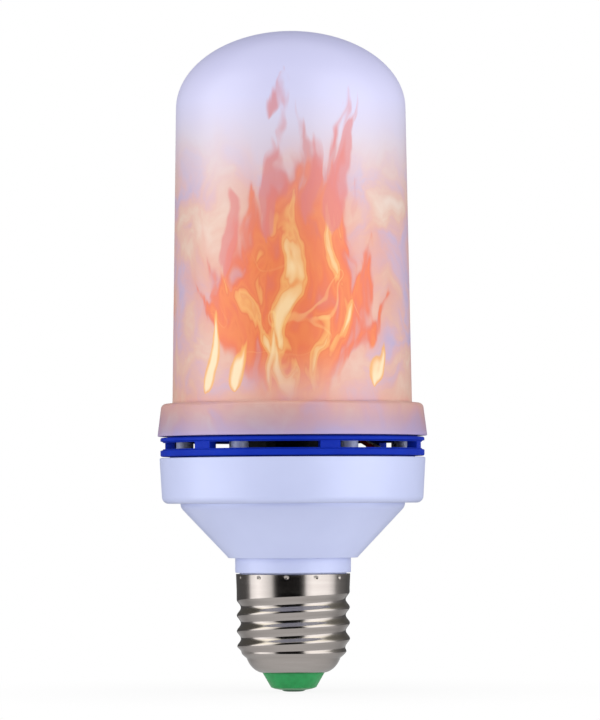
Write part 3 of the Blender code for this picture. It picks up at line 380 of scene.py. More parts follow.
def opalDiffuser():
    d = diffuser
    wall, corner, fillet, lip, bands = d["wall"], d["corner"], d["fillet"], d["lip"], d["tubeBands"]
    tubeLow = d["skirtTop"] + fillet
    tube = [(d["tubeTopRadius"] + (d["tubeFoot"] - d["tubeTopRadius"]) * n / bands,
             d["tubeTop"] + (tubeLow - d["tubeTop"]) * n / bands) for n in range(1, bands)]
    dome = (d["tubeTopRadius"], d["top"] - d["tubeTop"])
    domeInside = (dome[0] - wall, dome[1] - wall)
    profile = [
        *arcPoints((0, d["tubeTop"]), dome, 90, 0, 28),
        *tube,
        *arcPoints((d["tubeFoot"] + fillet, tubeLow), fillet, 180, 270, 5),
        *arcPoints((d["skirtTopRadius"] - corner, d["skirtTop"] - corner), corner, 90, 0, 8),
        *arcPoints((d["skirtRadius"] - lip, d["bottom"] + lip), lip, 0, -90, 3),
        (d["skirtRadius"] - wall, d["bottom"]),
        (d["skirtTopRadius"] - wall, d["skirtTop"] - wall),
        (d["tubeFoot"] - wall, d["skirtTop"] - wall),
        *arcPoints((0, d["tubeTop"]), domeInside, 0, 90, 20),
    ]
    # both ends lie exactly on the axis, so that the dome closes
    profile[0] = (0, d["top"])
    profile[-1] = (0, d["top"] - wall)
    shape = spinProfile(profile, d["steps"], closed=False)
    finishPiece(shape, "opalDiffuser", flameOpal(), "diffuser")


opalDiffuser()
print("diffuser made")


ring = {
    "bottom": 54.6, "top": 59.0, "rim": 30.7, "round": 0.4, "band": 30.1, "slot": 57.09,
    "slotHalf": 0.75, "bandHalf": 0.9, "bevel": 0.2, "bore": 27.8, "lowerLip": 28.5, "lowerDrop": 3.0,
    "upperLip": 29.1, "upperRise": 2.6, "ribAngle": 16.8, "slots": 6, "steps": 360, "ribSteps": 9,
    "tint": ((0.3, "#0b2ba6"), (0.7, "#1235b7")), "flow": 1000 / 90, "grain": 1000 / 1500,
}


def ventRing():
    r = ring
    slotLow, slotHigh = r["slot"] - r["slotHalf"], r["slot"] + r["slotHalf"]
    bandLow, bandHigh = r["slot"] - r["bandHalf"], r["slot"] + r["bandHalf"]
    lipTop = r["top"] + r["upperRise"]
    lipLow = r["bottom"] - r["lowerDrop"]
    edge = r["rim"] - r["round"]
    profile = [
        (r["upperLip"], lipTop), (r["upperLip"], r["top"]),
        *arcPoints((edge, r["top"] - r["round"]), r["round"], 90, 0, 5),
        (r["rim"], bandHigh + r["bevel"]), (r["band"], bandHigh), (r["band"], slotHigh),
        (r["band"], slotLow), (r["band"], bandLow), (r["rim"], bandLow - r["bevel"]),
        *arcPoints((edge, r["bottom"] + r["round"]), r["round"], 0, -90, 5),
        (r["lowerLip"], r["bottom"]), (r["lowerLip"], lipLow), (r["bore"], lipLow),
        (r["bore"], slotLow), (r["bore"], slotHigh), (r["bore"], lipTop),
    ]
    half = 360 / r["steps"] * r["ribSteps"] / 2
    start = radians(r["ribAngle"] + half - 90)      # the spin starts at a rib's edge
    shape = spinProfile(profile, r["steps"], startAngle=start)

    # the faces between the ribs go, outside and inside, and each slot's two edges are joined
    pitch = 360 / r["slots"]
    windows = []
    for face in shape.faces:
        middle = face.calc_center_median()
        turn = (frontAngle(middle) - r["ribAngle"] + half) % pitch
        if slotLow < middle.z / mm < slotHigh and turn > 2 * half:
            windows.append(face)
    bmesh.ops.delete(shape, geom=windows, context="FACES_ONLY")
    loose = [edge for edge in shape.edges if not edge.link_faces]
    bmesh.ops.delete(shape, geom=loose, context="EDGES")
    slack = 0.2       # degrees, so that the edges at a slot's ends count too
    for number in range(r["slots"]):
        low = r["ribAngle"] + half + number * pitch - slack
        rim = []
        for edge in shape.edges:
            if edge.is_boundary:
                middle = (edge.verts[0].co + edge.verts[1].co) / 2
                if (frontAngle(middle) - low) % 360 < pitch - 2 * half + 2 * slack:
                    rim.append(edge)
        bmesh.ops.bridge_loops(shape, edges=rim)
    bmesh.ops.recalc_face_normals(shape, faces=shape.faces)

    # moulded ABS coloured right through: deep even blue, satin, with faint flow marks
    plastic = grained("mouldedBlueAbs", r["tint"], r["flow"], surface=r["grain"], bump=0.08, detail=4.0,
                      Roughness=0.42, IOR=1.53, Specular_IOR_Level=0.06)[0]
    finishPiece(shape, "ventRing", plastic, "vent_ring")


ventRing()
print("vent ring made")


housing = {
    "neckTip": 9.9, "neck": 27.6, "cone": 31.0, "collar": 43.7, "collarTop": 54.3,
    "neckRadius": 13.45, "neckBand": 12.4, "neckThread": 11.45, "neckBore": 9.85, "neckEdge": 0.15,
    "bandFoot": 24.24, "bandRamp": 0.3, "tipRise": 1.2, "tipTaper": 0.6,
    "coneFoot": 15.2, "coneTop": 26.1, "coneRound": 2.2, "coneEdge": 0.25, "coneStep": 0.05,
    "collarFoot": 30.4, "collarRadius": 30.9, "corner": 1.6, "edge": 0.3, "wall": 1.8,
    "posts": 6, "postTop": 60.0, "postCircle": 25.0, "postRadius": 2.0, "postAngle": 31.5,
    "webTop": 51.3, "webThickness": 1.2, "webInset": 1.0, "steps": 192, "postSteps": 32,
    "tint": ((0.3, "#c4ccf1"), (0.7, "#cad2f6")), "flow": 1000 / 60, "grain": 1000 / 1800,
}


def whiteHousing():
    h = housing
    wall, edge, corner = h["wall"], h["edge"], h["corner"]
    slope = atan2(h["coneTop"] - h["coneFoot"], h["collar"] - h["cone"])
    lean = (h["coneTop"] - h["coneFoot"]) / (h["collar"] - h["cone"])
    innerFoot = h["coneFoot"] + lean * wall - wall / cos(slope)
    innerTop = innerFoot + lean * (h["collar"] - h["cone"])
    coneLow = h["cone"] + h["coneStep"]
    profile = [
        (h["collarRadius"] - wall, h["collarTop"]),
        *arcPoints((h["collarRadius"] - edge, h["collarTop"] - edge), edge, 90, 0, 4),
        *arcPoints((h["collarFoot"] - corner, h["collar"] + corner), corner, 0, -90, 10),
        *arcPoints((h["coneTop"] - h["coneRound"], h["collar"]), h["coneRound"], 0, -slope * 180 / pi, 6),
        *arcPoints((h["coneFoot"] - h["coneEdge"], coneLow + h["coneEdge"]), h["coneEdge"], 0, -90, 4),
        (h["neckRadius"], coneLow), (h["neckRadius"], h["neck"] + h["neckEdge"]),
        (h["neckRadius"] - h["neckEdge"], h["neck"]), (h["neckBand"], h["neck"]),
        (h["neckBand"], h["bandFoot"] + h["bandRamp"]), (h["neckThread"], h["bandFoot"]),
        (h["neckThread"], h["neckTip"] + h["tipRise"]), (h["neckThread"] - h["tipTaper"], h["neckTip"]),
        (h["neckBore"], h["neckTip"]), (h["neckBore"], h["cone"] + wall),
        (innerFoot, h["cone"] + wall), (innerTop, h["collar"] + wall),
        (h["collarFoot"] - wall, h["collar"] + wall),
    ]
    shape = spinProfile(profile, h["steps"])

    # posts stand in the collar's floor, each held to its wall by a web
    low, high = h["collar"] + wall * 0.5, h["postTop"]
    webLow, webHigh = h["collar"] + wall * 0.75, h["webTop"]
    webIn, webOut = h["postCircle"] + h["webInset"], h["collarFoot"] - wall / 2
    webMiddle = (webIn + webOut) / 2
    for n in range(h["posts"]):
        turn = radians(h["postAngle"] + n * 360 / h["posts"])
        spot = Vector((h["postCircle"] * sin(turn), -h["postCircle"] * cos(turn), (low + high) / 2)) * mm
        bmesh.ops.create_cone(
            shape, cap_ends=True, segments=h["postSteps"], radius1=h["postRadius"] * mm,
            radius2=h["postRadius"] * mm, depth=(high - low) * mm, matrix=Matrix.Translation(spot))
        spot = Vector((webMiddle * sin(turn), -webMiddle * cos(turn), (webLow + webHigh) / 2)) * mm
        turned = Matrix.Translation(spot) @ Matrix.Rotation(turn - pi / 2, 4, "Z")
        span = Matrix.Diagonal(
            ((webOut - webIn) * mm, h["webThickness"] * mm, (webHigh - webLow) * mm, 1))
        bmesh.ops.create_cube(shape, size=1.0, matrix=turned @ span)

    # moulded PBT with a cool lavender cast: satin, with a very fine spark-eroded grain
    plastic = grained("mouldedWhitePbt", h["tint"], h["flow"], surface=h["grain"], bump=0.06,
                      Roughness=0.36, IOR=1.55)[0]
    finishPiece(shape, "whiteHousing", plastic, "housing")


whiteHousing()
print("housing made")


cap = {
    "lip": 4.5, "shoulder": 7.8, "top": 27.3, "wall": 0.45,
    "lipRadius": 7.8, "kneeRadius": 9.65, "knee": 5.7, "shoulderRadius": 10.9, "swell": 3.4,
    "crest": 13.15, "depth": 0.95, "pitch": 3.629, "lastCrest": 23.15,
    "foot": 0.8, "runIn": 1.5,       # mm above the bowl where the thread starts, and mm to its full depth
    "runOut": 0.3,                   # turns over which its last groove fades
    "plainBand": 2.2,
    "waist": 0.07, "flare": 0.13,    # the plain band: in above the thread, out at its top, mm
    "roundness": 0.86,               # under 1, grooves are rounder than crests
    "marks": 12, "markAngle": -6.6, "markDrop": 0.8, "markRadius": 0.55, "markDepth": 0.32,
    "steps": 300, "ringStep": 0.2, "markStep": 0.16, "bowlSteps": 14,
    # the second colour below is a painted reflection, laid on the thread's upward-facing sides
    "tint": ((0.25, "#9b9490"), (0.75, "#a7a19d")), "upwardReflectionHue": "#a9a193",
    "drawn": (1000 / 60, 1000 / 60, 1000 / 900),   # size of the drawing marks, mm
}


def nickelPlate():
    # bright nickel on rolled steel: warm grey mirror, a little soft from drawing and handling
    material, tree, shader = startMaterial("nickelPlate", Metallic=1.0)
    place = addNode(tree, "ShaderNodeTexCoord").outputs["Object"]
    along = addNode(tree, "ShaderNodeVectorMath", {
        0: place, 1: [1 / (size * mm) for size in cap["drawn"]]}, operation="MULTIPLY")
    drawn = addNode(tree, "ShaderNodeTexNoise", {"Vector": along, "Scale": 1.0, "Detail": 3.0})
    tint = addNode(tree, "ShaderNodeValToRGB", {"Fac": drawn}, stops=cap["tint"])
    # the upward sides of the thread, painted paler and warmer: a painted reflection on the faces that look
    # up
    facingUp = addNode(tree, "ShaderNodeAttribute", attribute_name="facingUp").outputs["Fac"]
    paintedUpwardReflection = addNode(tree, "ShaderNodeMapRange", {
        "Value": facingUp, "From Min": 0.2, "From Max": 0.55, "To Max": 0.85})
    tint = addNode(tree, "ShaderNodeMix", {
        0: paintedUpwardReflection, 6: tint, 7: linear(cap["upwardReflectionHue"])}, data_type="RGBA")
    rough = addNode(tree, "ShaderNodeMapRange", {"Value": drawn, "To Min": 0.11, "To Max": 0.2})
    relief = addNode(tree, "ShaderNodeBump", {"Height": drawn, "Strength": 0.1, "Distance": 0.05 * mm})
    tree.links.new(tint.outputs[2], shader.inputs["Base Color"])
    tree.links.new(rough.outputs[0], shader.inputs["Roughness"])
    tree.links.new(relief.outputs[0], shader.inputs["Normal"])
    return material


def smoothStep(value):
    value = min(max(value, 0.0), 1.0)
    return value * value * (3 - 2 * value)


def envelope(z):
    # radius of the thread's crests, which swell out of the bowl
    run = min(max((z - cap["shoulder"]) / cap["swell"], 0.0), 1.0)
    return cap["shoulderRadius"] + (cap["crest"] - cap["shoulderRadius"]) * (1 - (1 - run) ** 2)


def threadCut(z, angle):
    # depth below the crests of the right-hand thread, which ends in a plain band
    turn = angle / tau
    lastCrest = cap["lastCrest"] + cap["pitch"] * turn
    if z > lastCrest:
        share = (z - lastCrest) / (cap["top"] - lastCrest)
        return smoothStep(share * 5) * (cap["waist"] - (cap["waist"] + cap["flare"]) * share)
    groove = ((1 - cos(tau * (lastCrest - z) / cap["pitch"])) / 2) ** cap["roundness"]
    fade = smoothStep((z - cap["shoulder"] - cap["foot"]) / cap["runIn"])
    if z > lastCrest - cap["pitch"]:
        fade *= 1 - smoothStep(turn / cap["runOut"])
    return cap["depth"] * groove * fade


def markCut(z, around):
    # depth of the round dents punched through the plain band, which hold the cap on the neck
    step = 360 / cap["marks"]
    turn = (around - cap["markAngle"] + step / 2) % step - step / 2
    away = hypot(radians(turn) * cap["crest"], z - cap["top"] + cap["markDrop"]) / cap["markRadius"]
    return cap["markDepth"] * (1 - smoothStep(away))


def screwCap():
    c = cap
    bandLow = c["top"] - c["plainBand"]
    count = round((bandLow - c["shoulder"]) / c["ringStep"])
    heights = [bandLow - (bandLow - c["shoulder"]) * n / count for n in range(count)]
    markRows = round(2 * c["markDrop"] / c["markStep"])
    # the bowl passes its knee: a smooth curve through shoulder, knee and lip
    start = Vector((c["shoulderRadius"], c["shoulder"]))
    knee = Vector((c["kneeRadius"], c["knee"]))
    end = Vector((c["lipRadius"], c["lip"]))
    pull = knee * 2 - (start + end) / 2
    shares = [n / c["bowlSteps"] for n in range(c["bowlSteps"] + 1)]
    bowl = [start * (1 - t) ** 2 + pull * 2 * t * (1 - t) + end * t ** 2 for t in shares]
    profile = [
        *[(c["crest"], c["top"] - c["markStep"] * n) for n in range(markRows + 1)],
        *[(envelope(z), z) for z in heights],
        *[(point.x, point.y) for point in bowl],
    ]
    shape = spinProfile(profile, c["steps"], closed=False)
    for vert in shape.verts:
        radius = hypot(vert.co.x, vert.co.y)
        z = vert.co.z / mm
        cut = 0.0
        if z > c["shoulder"]:
            cut = threadCut(z, atan2(vert.co.y, vert.co.x))
        if z > c["top"] - 2 * c["markDrop"]:
            cut += markCut(z, frontAngle(vert.co))
        vert.co.x *= 1 - cut * mm / radius
        vert.co.y *= 1 - cut * mm / radius
    outward = sum(face.normal.x * face.calc_center_median().x for face in shape.faces)
    if outward < 0:
        bmesh.ops.reverse_faces(shape, faces=shape.faces)
    piece = finishPiece(shape, "nickelCap", nickelPlate(), "screw_cap", sharp=50)
    # how far each point faces up, for the painted reflection on the thread's upward sides
    facingUp = piece.data.attributes.new("facingUp", "FLOAT", "POINT")
    facingUp.data.foreach_set("value", [max(vert.normal.z, 0.0) for vert in piece.data.vertices])
    wall = piece.modifiers.new("wall", "SOLIDIFY")
    wall.thickness = c["wall"] * mm
    wall.offset = -1.0
    wall.use_even_offset = True


screwCap()
print("screw cap made")


foot = {
    # radius and height of each corner, mm: the insulator from its top, round its tip, and its underside
    "outside": ((10.0, 9.6), (10.0, 8.1), (8.9, 6.45), (7.275, 6.15), (7.275, 4.5)),
    "tipCentre": (5.04, 1.22), "tipRound": 0.3,
    "underside": ((4.3, 0.65), (3.2, 0.45), (3.1, 0.55), (3.1, 0.95), (1.4, 0.95), (1.4, 9.6)),
    # the contact's pin and the rounded edge of its head
    "pin": ((0, 10.4), (1.1, 10.4), (1.1, 0.65), (2.8, 0.65)),
    "headCentre": (1.4, 0.52), "headRound": (1.4, 0.52), "steps": 128,
    "resinTint": ((0.3, "#249a52"), (0.7, "#2da95e")), "specks": 1000 / 700,
    # the contact's colours are darkened as painted shade under the lamp
    "contactShadeTint": ((0.3, "#3b5843"), (0.7, "#4a6a52")), "pits": 1000 / 1200,
}


def capFoot():
    f = foot
    profile = [*f["outside"], *arcPoints(f["tipCentre"], f["tipRound"], -28, -76, 4), *f["underside"]]
    # pressed green resin: dense saturated green, satin, with faint filler specks
    resin = grained("pressedGreenResin", f["resinTint"], f["specks"], detail=4.0,
                    Roughness=0.4, IOR=1.55, Specular_IOR_Level=0.35)[0]
    finishPiece(spinProfile(profile, f["steps"]), "greenInsulator", resin, "insulator")
    profile = [*f["pin"], *arcPoints(f["headCentre"], f["headRound"], 0, -90, 8), (0, 0)]
    shape = spinProfile(profile, f["steps"], closed=False)
    # tinned brass, painted dark grey-green as painted shade on the contact under the lamp; matt, with small
    # pits from the riveting tool
    brass = grained("tinnedBrass", f["contactShadeTint"], f["pits"], bump=0.3, detail=4.0,
                    Metallic=0.85, Roughness=0.5)[0]
    finishPiece(shape, "contactRivet", brass, "centre_contact")


capFoot()
print("insulator and contact made")


board = {
    # where packages and then their phosphor start: out from the axis, and up, mm
    "sheetSteps": (12.75, 13.1), "topSteps": (128.55, 128.95),
    "tint": ((0.3, "#e7e0cf"), (0.7, "#efe9da")), "package": "#f6f3ea", "phosphor": "#e6b445",
}


def ledBoard(name, node):
    # polyimide board under white solder mask: matt cream, with a yellow phosphor face on each light
    material, tree, shader, tint, place = grained(name, board["tint"], 0.8, Roughness=0.5, IOR=1.5)
    if node == "led_sheet":
        flat = addNode(tree, "ShaderNodeVectorMath", {0: place, 1: (1, 1, 0)}, operation="MULTIPLY")
        reach = addNode(tree, "ShaderNodeVectorMath", {0: flat}, operation="LENGTH").outputs["Value"]
        steps = board["sheetSteps"]
    else:
        reach = addNode(tree, "ShaderNodeSeparateXYZ", {0: place}).outputs["Z"]
        steps = board["topSteps"]
    colour = tint.outputs[0]
    for step, code in zip(steps, (board["package"], board["phosphor"])):
        past = addNode(tree, "ShaderNodeMath", {0: reach, 1: step * mm}, operation="GREATER_THAN")
        colour = addNode(tree, "ShaderNodeMix", {
            0: past, 6: colour, 7: linear(code)}, data_type="RGBA").outputs[2]
    tree.links.new(colour, shader.inputs["Base Color"])
    return material


laminate = {
    "tint": ((0.3, "#2c5a34"), (0.7, "#36683c")), "weave": ("#2a5833", "#3a7042"), "thread": 0.5,
    "weaveShare": 0.35, "padHue": "#c3c0b4", "padSpacing": 3.2, "padReach": 0.26,
}


def boardLaminate():
    # glass laminate under green mask: a faint woven grid, with tinned pads scattered over it
    material, tree, shader, tint, place = grained(
        "glassLaminate", laminate["tint"], 0.6, Roughness=0.4, IOR=1.55)
    dark, light = laminate["weave"]
    weave = addNode(tree, "ShaderNodeTexChecker", {
        "Vector": place, "Color1": linear(dark), "Color2": linear(light),
        "Scale": 1 / (laminate["thread"] * mm)})
    cloth = addNode(tree, "ShaderNodeMix", {
        0: laminate["weaveShare"], 6: tint, 7: weave}, data_type="RGBA")
    spots = addNode(tree, "ShaderNodeTexVoronoi", {
        "Vector": place, "Scale": 1 / (laminate["padSpacing"] * mm)})
    pad = addNode(tree, "ShaderNodeMath", {0: spots, 1: laminate["padReach"]}, operation="LESS_THAN")
    colour = addNode(tree, "ShaderNodeMix", {
        0: pad, 6: cloth.outputs[2], 7: linear(laminate["padHue"])}, data_type="RGBA")
    tree.links.new(colour.outputs[2], shader.inputs["Base Color"])
    return material


can = {
    "tint": ((0.3, "#171a2c"), (0.7, "#20243a")), "stripeHue": "#b9bccb", "metalHue": "#c9c7c2",
    "stripe": 0.45,                  # half its width, in radians
    "bareShare": 0.82,               # of the end's radius, inside the sleeve's edge
    "bareDepth": 0.25,               # mm above the end that count as bare
}


def canSleeve(name, node):
    # shrunk PVC sleeve on an aluminium can: glossy navy, one pale stripe, bare metal inside its end
    material, tree, shader, tint, place = grained(
        name, can["tint"], 0.5, bump=0.05, Roughness=0.28, IOR=1.53)
    low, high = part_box(node)
    middle = (Vector(low) + Vector(high)) / 2
    fromMiddle = addNode(tree, "ShaderNodeMapping", {"Vector": place, "Location": -middle})
    spot = addNode(tree, "ShaderNodeSeparateXYZ", {0: fromMiddle}).outputs
    angle = addNode(tree, "ShaderNodeMath", {0: spot["Y"], 1: spot["X"]}, operation="ARCTAN2")
    away = addNode(tree, "ShaderNodeMath", {0: angle}, operation="ABSOLUTE")
    stripe = addNode(tree, "ShaderNodeMath", {0: away, 1: can["stripe"]}, operation="LESS_THAN")
    squares = addNode(tree, "ShaderNodeMath", {0: spot["X"], 1: spot["X"]}, operation="MULTIPLY")
    squares = addNode(tree, "ShaderNodeMath", {
        0: spot["Y"], 1: spot["Y"], 2: squares}, operation="MULTIPLY_ADD")
    reach = addNode(tree, "ShaderNodeMath", {0: squares}, operation="SQRT")
    inner = addNode(tree, "ShaderNodeMath", {
        0: reach, 1: (high[0] - low[0]) / 2 * can["bareShare"]}, operation="LESS_THAN")
    depth = (high[2] - low[2]) / 2 - can["bareDepth"] * mm
    bottom = addNode(tree, "ShaderNodeMath", {0: spot["Z"], 1: -depth}, operation="LESS_THAN")
    end = addNode(tree, "ShaderNodeMath", {0: inner, 1: bottom}, operation="MULTIPLY")
    colour = tint.outputs[0]
    for share, code in ((stripe, can["stripeHue"]), (end, can["metalHue"])):
        colour = addNode(tree, "ShaderNodeMix", {
            0: share, 6: colour, 7: linear(code)}, data_type="RGBA").outputs[2]
    tree.links.new(colour, shader.inputs["Base Color"])
    return material


winding = {"tint": ((0.3, "#a8552e"), (0.7, "#c46a3c")), "between": "#6f3219", "pitch": 0.35}


def copperTurns():
    # enamelled copper: orange-brown metal in close turns, with painted shade between them
    material, tree, shader, tint, place = grained(
        "enamelledCopper", winding["tint"], 0.4, bump=0.6, Metallic=0.9, Roughness=0.3)
    # a wave texture of scale 1 repeats 20 times in tau metres
    turns = addNode(tree, "ShaderNodeTexWave", {
        "Vector": place, "Scale": tau / 20 / (winding["pitch"] * mm)}, bands_direction="Z").outputs[1]
    # painted shade in the creases between the turns
    colour = addNode(tree, "ShaderNodeMix", {
        0: turns, 6: linear(winding["between"]), 7: tint}, data_type="RGBA")
    tree.links.new(colour.outputs[2], shader.inputs["Base Color"])
    tree.links.new(turns, tree.nodes["Bump"].inputs["Height"])
    return material


resistor = {
    "tint": ((0.3, "#6f98a3"), (0.7, "#7fa8b2")), "paint": 0.7,
    "rings": (
        (0.0, "#7fa8b2"), (0.18, "#5b3a22"), (0.25, "#7fa8b2"), (0.36, "#2a2a2a"), (0.43, "#7fa8b2"),
        (0.54, "#b08a2e"), (0.61, "#7fa8b2")),
}


def resistorLacquer():
    # lacquered ceramic: pale blue-grey gloss with painted rings
    material, tree, shader, tint, place = grained(
        "lacqueredCeramic", resistor["tint"], 0.5, Roughness=0.25, IOR=1.5)
    low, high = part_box("fuse_resistor")
    height = addNode(tree, "ShaderNodeSeparateXYZ", {0: place}).outputs["Z"]
    level = addNode(tree, "ShaderNodeMapRange", {
        "Value": height, "From Min": low[2], "From Max": high[2]})
    rings = addNode(tree, "ShaderNodeValToRGB", {"Fac": level}, stops=resistor["rings"])
    rings.color_ramp.interpolation = "CONSTANT"
    colour = addNode(tree, "ShaderNodeMix", {0: resistor["paint"], 6: tint, 7: rings}, data_type="RGBA")
    tree.links.new(colour.outputs[2], shader.inputs["Base Color"])
    return material


# glass-filled nylon: near-black, matt, with a faint fibre mottle
coreNylon = grained(
    "glassFilledNylon", ((0.3, "#0b0b0e"), (0.7, "#17171b")), 1.6, Roughness=0.55, IOR=1.53)[0]
# zinc-plated steel: pale grey metal, slightly yellow, softly bright
zincSteel = grained(
    "zincPlatedSteel", ((0.3, "#b5b4ad"), (0.7, "#cfcdc6")), 1.5, Metallic=1.0, Roughness=0.32)[0]
# sintered ferrite: dark warm grey, dull and finely pitted
ferrite = grained(
    "sinteredFerrite", ((0.3, "#2b2a2c"), (0.7, "#3b3a3c")), 0.4, bump=0.25, Roughness=0.7)[0]
# moulded epoxy: charcoal, with an even eroded grain
epoxy = grained(
    "mouldedEpoxy", ((0.3, "#18181a"), (0.7, "#242427")), 0.3, bump=0.2, Roughness=0.6, IOR=1.55)[0]
# silicone rubber insulation: even colour with a soft sheen
redSilicone = grained(
    "redSilicone", ((0.3, "#a81c18"), (0.7, "#b92620")), 0.8, Roughness=0.45, IOR=1.41)[0]
whiteSilicone = grained(
    "whiteSilicone", ((0.3, "#d9d8d4"), (0.7, "#e4e3df")), 0.8, Roughness=0.45, IOR=1.41)[0]
inside = {
    coreNylon: ("led_core",),
    zincSteel: ("fixing_screw_1", "fixing_screw_2", "fixing_screw_3"),
    ledBoard("whiteMaskBoard", "led_sheet"): ("led_sheet",),
    ledBoard("whiteMaskTopBoard", "top_led_board"): ("top_led_board",),
    boardLaminate(): ("driver_board",),
    canSleeve("shrunkSleeve", "input_capacitor"): ("input_capacitor",),
    canSleeve("smallShrunkSleeve", "output_capacitor"): ("output_capacitor",),
    ferrite: ("choke_core",),
    copperTurns(): ("choke_winding",),
    resistorLacquer(): ("fuse_resistor",),
    epoxy: ("bridge_rectifier", "driver_chip", "flame_chip"),
    redSilicone: ("live_wire", "led_wire_positive"),
    whiteSilicone: ("neutral_wire", "led_wire_negative"),
}
for finish, names in inside.items():
    for name in names:
        nodes[name].data.materials.clear()
        nodes[name].data.materials.append(finish)
print("inner finishes set")


studio = {
    "worldFill": 0.74, "floorGlow": 0.9, "floorRadius": 0.115, "shadowReach": 0.1,
    "dimFrom": -0.014, "dimTo": 0.016, "dimmest": 0.5, "floorHue": "#e5e3df",
    "lamps": (("leftLamp", -66.0, 0.65), ("rightLamp", 59.0, 0.82)),       # bearing and width, m
    "lampRadiance": 1.3, "lampHeight": 0.42, "lampDistance": 0.55, "lampCentre": 0.07,
    # what metal and gloss see round the lamp: bearing in degrees from the front, and brightness
    "tent": (
        (-180, 0.12), (-150, 0.12), (-112, 0.16), (-101, 0.35), (-94, 2.0), (-75, 2.75), (-60, 2.2),
        (-45, 1.5), (-37, 0.12), (-31, 0.01), (14, 0.01), (22, 0.2), (28, 2.0), (40, 2.6), (59, 2.5),
        (76, 2.3), (88, 1.6), (98, 0.5), (112, 0.3), (140, 0.15), (180, 0.12)),
    "tentMost": 2.8, "tentRadius": 0.5, "tentLow": -0.5, "tentHigh": 0.8, "steps": 96,
}
white = linear("#ffffff")


def seenStrength(tree, unseen):
    # 1 where the camera, a reflection or glass looks at it, and less where it only lights
    rays = addNode(tree, "ShaderNodeLightPath").outputs
    first = addNode(tree, "ShaderNodeMath", {
        0: rays["Is Camera Ray"], 1: rays["Is Glossy Ray"]}, operation="MAXIMUM")
    seen = addNode(tree, "ShaderNodeMath", {
        0: first, 1: rays["Is Transmission Ray"]}, operation="MAXIMUM")
    return addNode(tree, "ShaderNodeMapRange", {"Value": seen, "To Min": unseen})


def whiteWorld():
    world = bpy.data.worlds.new("studioWorld")
    bpy.context.scene.world = world
    world.use_nodes = True
    tree = world.node_tree
    background = tree.nodes["Background"]
    background.inputs["Color"].default_value = white
    strength = seenStrength(tree, studio["worldFill"])
    tree.links.new(strength.outputs[0], background.inputs["Strength"])


def paleFloor():
    shape = bmesh.new()
    bmesh.ops.create_circle(shape, cap_ends=True, segments=studio["steps"], radius=studio["floorRadius"])
    mesh = bpy.data.meshes.new("floor")
    shape.to_mesh(mesh)
    shape.free()
    material, tree, shader = startMaterial("paintedFloor", Roughness=0.9)
    shader.inputs["Base Color"].default_value = linear(studio["floorHue"])
    place = addNode(tree, "ShaderNodeTexCoord").outputs["Object"]
    # gloss sees the floor grow dimmer behind the lamp
    along = addNode(tree, "ShaderNodeSeparateXYZ", {0: place}).outputs["Y"]
    dim = addNode(tree, "ShaderNodeMapRange", {
        "Value": along, "From Min": studio["dimFrom"], "From Max": studio["dimTo"],
        "To Max": studio["dimmest"]}, interpolation_type="SMOOTHSTEP")
    gloss = addNode(tree, "ShaderNodeLightPath").outputs["Is Glossy Ray"]
    dim = addNode(tree, "ShaderNodeMath", {0: dim, 1: gloss}, operation="MULTIPLY")
    bright = addNode(tree, "ShaderNodeMath", {0: 1.0, 1: dim}, operation="SUBTRACT")
    glow = addNode(tree, "ShaderNodeEmission", {"Color": white, "Strength": bright})
    # it is seen as white, but near the lamp a share of its own surface keeps the shadow
    reach = addNode(tree, "ShaderNodeVectorMath", {0: place}, operation="LENGTH").outputs["Value"]
    plain = addNode(tree, "ShaderNodeMapRange", {
        "Value": reach, "From Max": studio["shadowReach"], "To Min": studio["floorGlow"]},
        interpolation_type="SMOOTHSTEP")
    share = addNode(tree, "ShaderNodeMath", {0: seenStrength(tree, 0.0), 1: plain}, operation="MULTIPLY")
    both = addNode(tree, "ShaderNodeMixShader", {0: share, 1: shader, 2: glow})
    tree.links.new(both.outputs[0], tree.nodes["Material Output"].inputs["Surface"])
    mesh.materials.append(material)
    floor = bpy.data.objects.new("floor", mesh)
    bpy.context.scene.collection.objects.link(floor)


def softLamp(name, azimuth, width):
    # lights the lamp evenly, but isn't itself seen in gloss
    light = bpy.data.lights.new(name, "AREA")
    light.shape = "RECTANGLE"
    light.size = width
    light.size_y = studio["lampHeight"]
    light.energy = studio["lampRadiance"] * pi * width * studio["lampHeight"]
    lamp = bpy.data.objects.new(name, light)
    bpy.context.scene.collection.objects.link(lamp)
    turn = radians(azimuth)
    reach = studio["lampDistance"]
    lamp.location = (reach * sin(turn), -reach * cos(turn), studio["lampCentre"])
    lamp.rotation_euler = (pi / 2, 0, turn)
    lamp.visible_camera = False
    lamp.visible_glossy = False


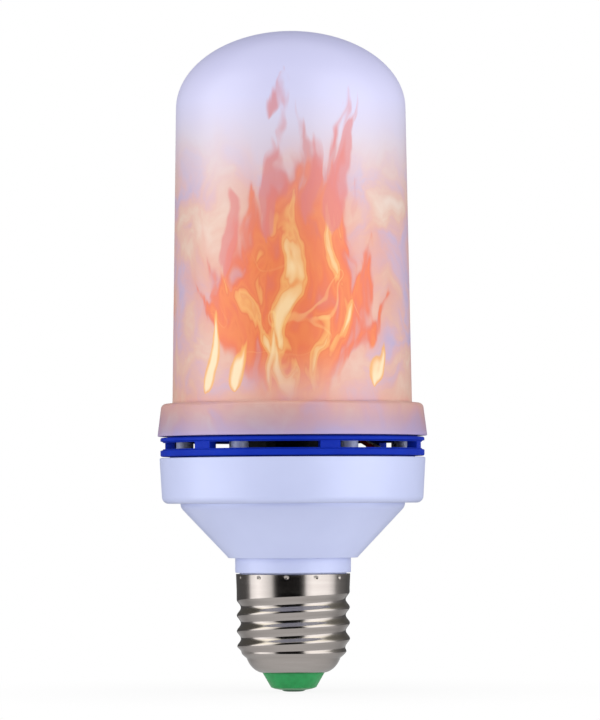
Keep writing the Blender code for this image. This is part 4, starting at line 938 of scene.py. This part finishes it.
def lightTent():
    # a round screen that only gloss sees: two soft boxes with dark gaps between them
    shape = bmesh.new()
    ends = [shape.verts.new((0, -studio["tentRadius"], z)) for z in (studio["tentLow"], studio["tentHigh"])]
    edge = shape.edges.new(ends)
    bmesh.ops.spin(
        shape, geom=[*ends, edge], cent=(0, 0, 0), axis=(0, 0, 1), dvec=(0, 0, 0),
        angle=tau, steps=studio["steps"], use_merge=True, use_duplicate=False)
    mesh = bpy.data.meshes.new("lightTent")
    shape.to_mesh(mesh)
    shape.free()
    material, tree, shader = startMaterial("tentCloth")
    tree.nodes.remove(shader)        # the cloth only glows
    place = addNode(tree, "ShaderNodeTexCoord").outputs["Object"]
    axes = addNode(tree, "ShaderNodeSeparateXYZ", {0: place}).outputs
    back = addNode(tree, "ShaderNodeMath", {0: axes["Y"], 1: -1.0}, operation="MULTIPLY")
    bearing = addNode(tree, "ShaderNodeMath", {0: axes["X"], 1: back}, operation="ARCTAN2")
    turn = addNode(tree, "ShaderNodeMapRange", {"Value": bearing, "From Min": -pi, "From Max": pi})
    stops = []
    for degrees, brightness in studio["tent"]:
        grey = brightness / studio["tentMost"]
        stops.append(((degrees + 180) / 360, (grey, grey, grey, 1)))
    shades = addNode(tree, "ShaderNodeValToRGB", {"Fac": turn}, stops=stops)
    glow = addNode(tree, "ShaderNodeEmission", {"Color": shades, "Strength": studio["tentMost"]})
    tree.links.new(glow.outputs[0], tree.nodes["Material Output"].inputs["Surface"])
    mesh.materials.append(material)
    tent = bpy.data.objects.new("lightTent", mesh)
    bpy.context.scene.collection.objects.link(tent)
    tent.visible_camera = False
    tent.visible_diffuse = False
    tent.visible_shadow = False
    tent.visible_transmission = False


view = {
    "distance": 1.04, "eye": 0.044, "aimX": 0.00186, "aimZ": 0.077, "frameHeight": 0.1675,   # m
    "roll": 0.3, "sensor": 24.0,     # degrees and mm
}


def setCamera():
    lens = bpy.data.cameras.new("frontCamera")
    lens.sensor_fit = "VERTICAL"
    lens.sensor_height = view["sensor"]
    lens.lens = view["sensor"] * view["distance"] / view["frameHeight"]
    camera = bpy.data.objects.new("frontCamera", lens)
    bpy.context.scene.collection.objects.link(camera)
    eye = Vector((view["aimX"], -view["distance"], view["eye"]))
    aim = Vector((view["aimX"], 0, view["aimZ"]))
    look = (aim - eye).to_track_quat("-Z", "Y").to_matrix().to_4x4()
    camera.matrix_world = Matrix.Translation(eye) @ look @ Matrix.Rotation(radians(-view["roll"]), 4, "Z")
    bpy.context.scene.camera = camera


whiteWorld()
paleFloor()
for name, azimuth, width in studio["lamps"]:
    softLamp(name, azimuth, width)
lightTent()
setCamera()
bpy.context.scene.view_settings.view_transform = "Standard"
print("stage, lights and camera set")
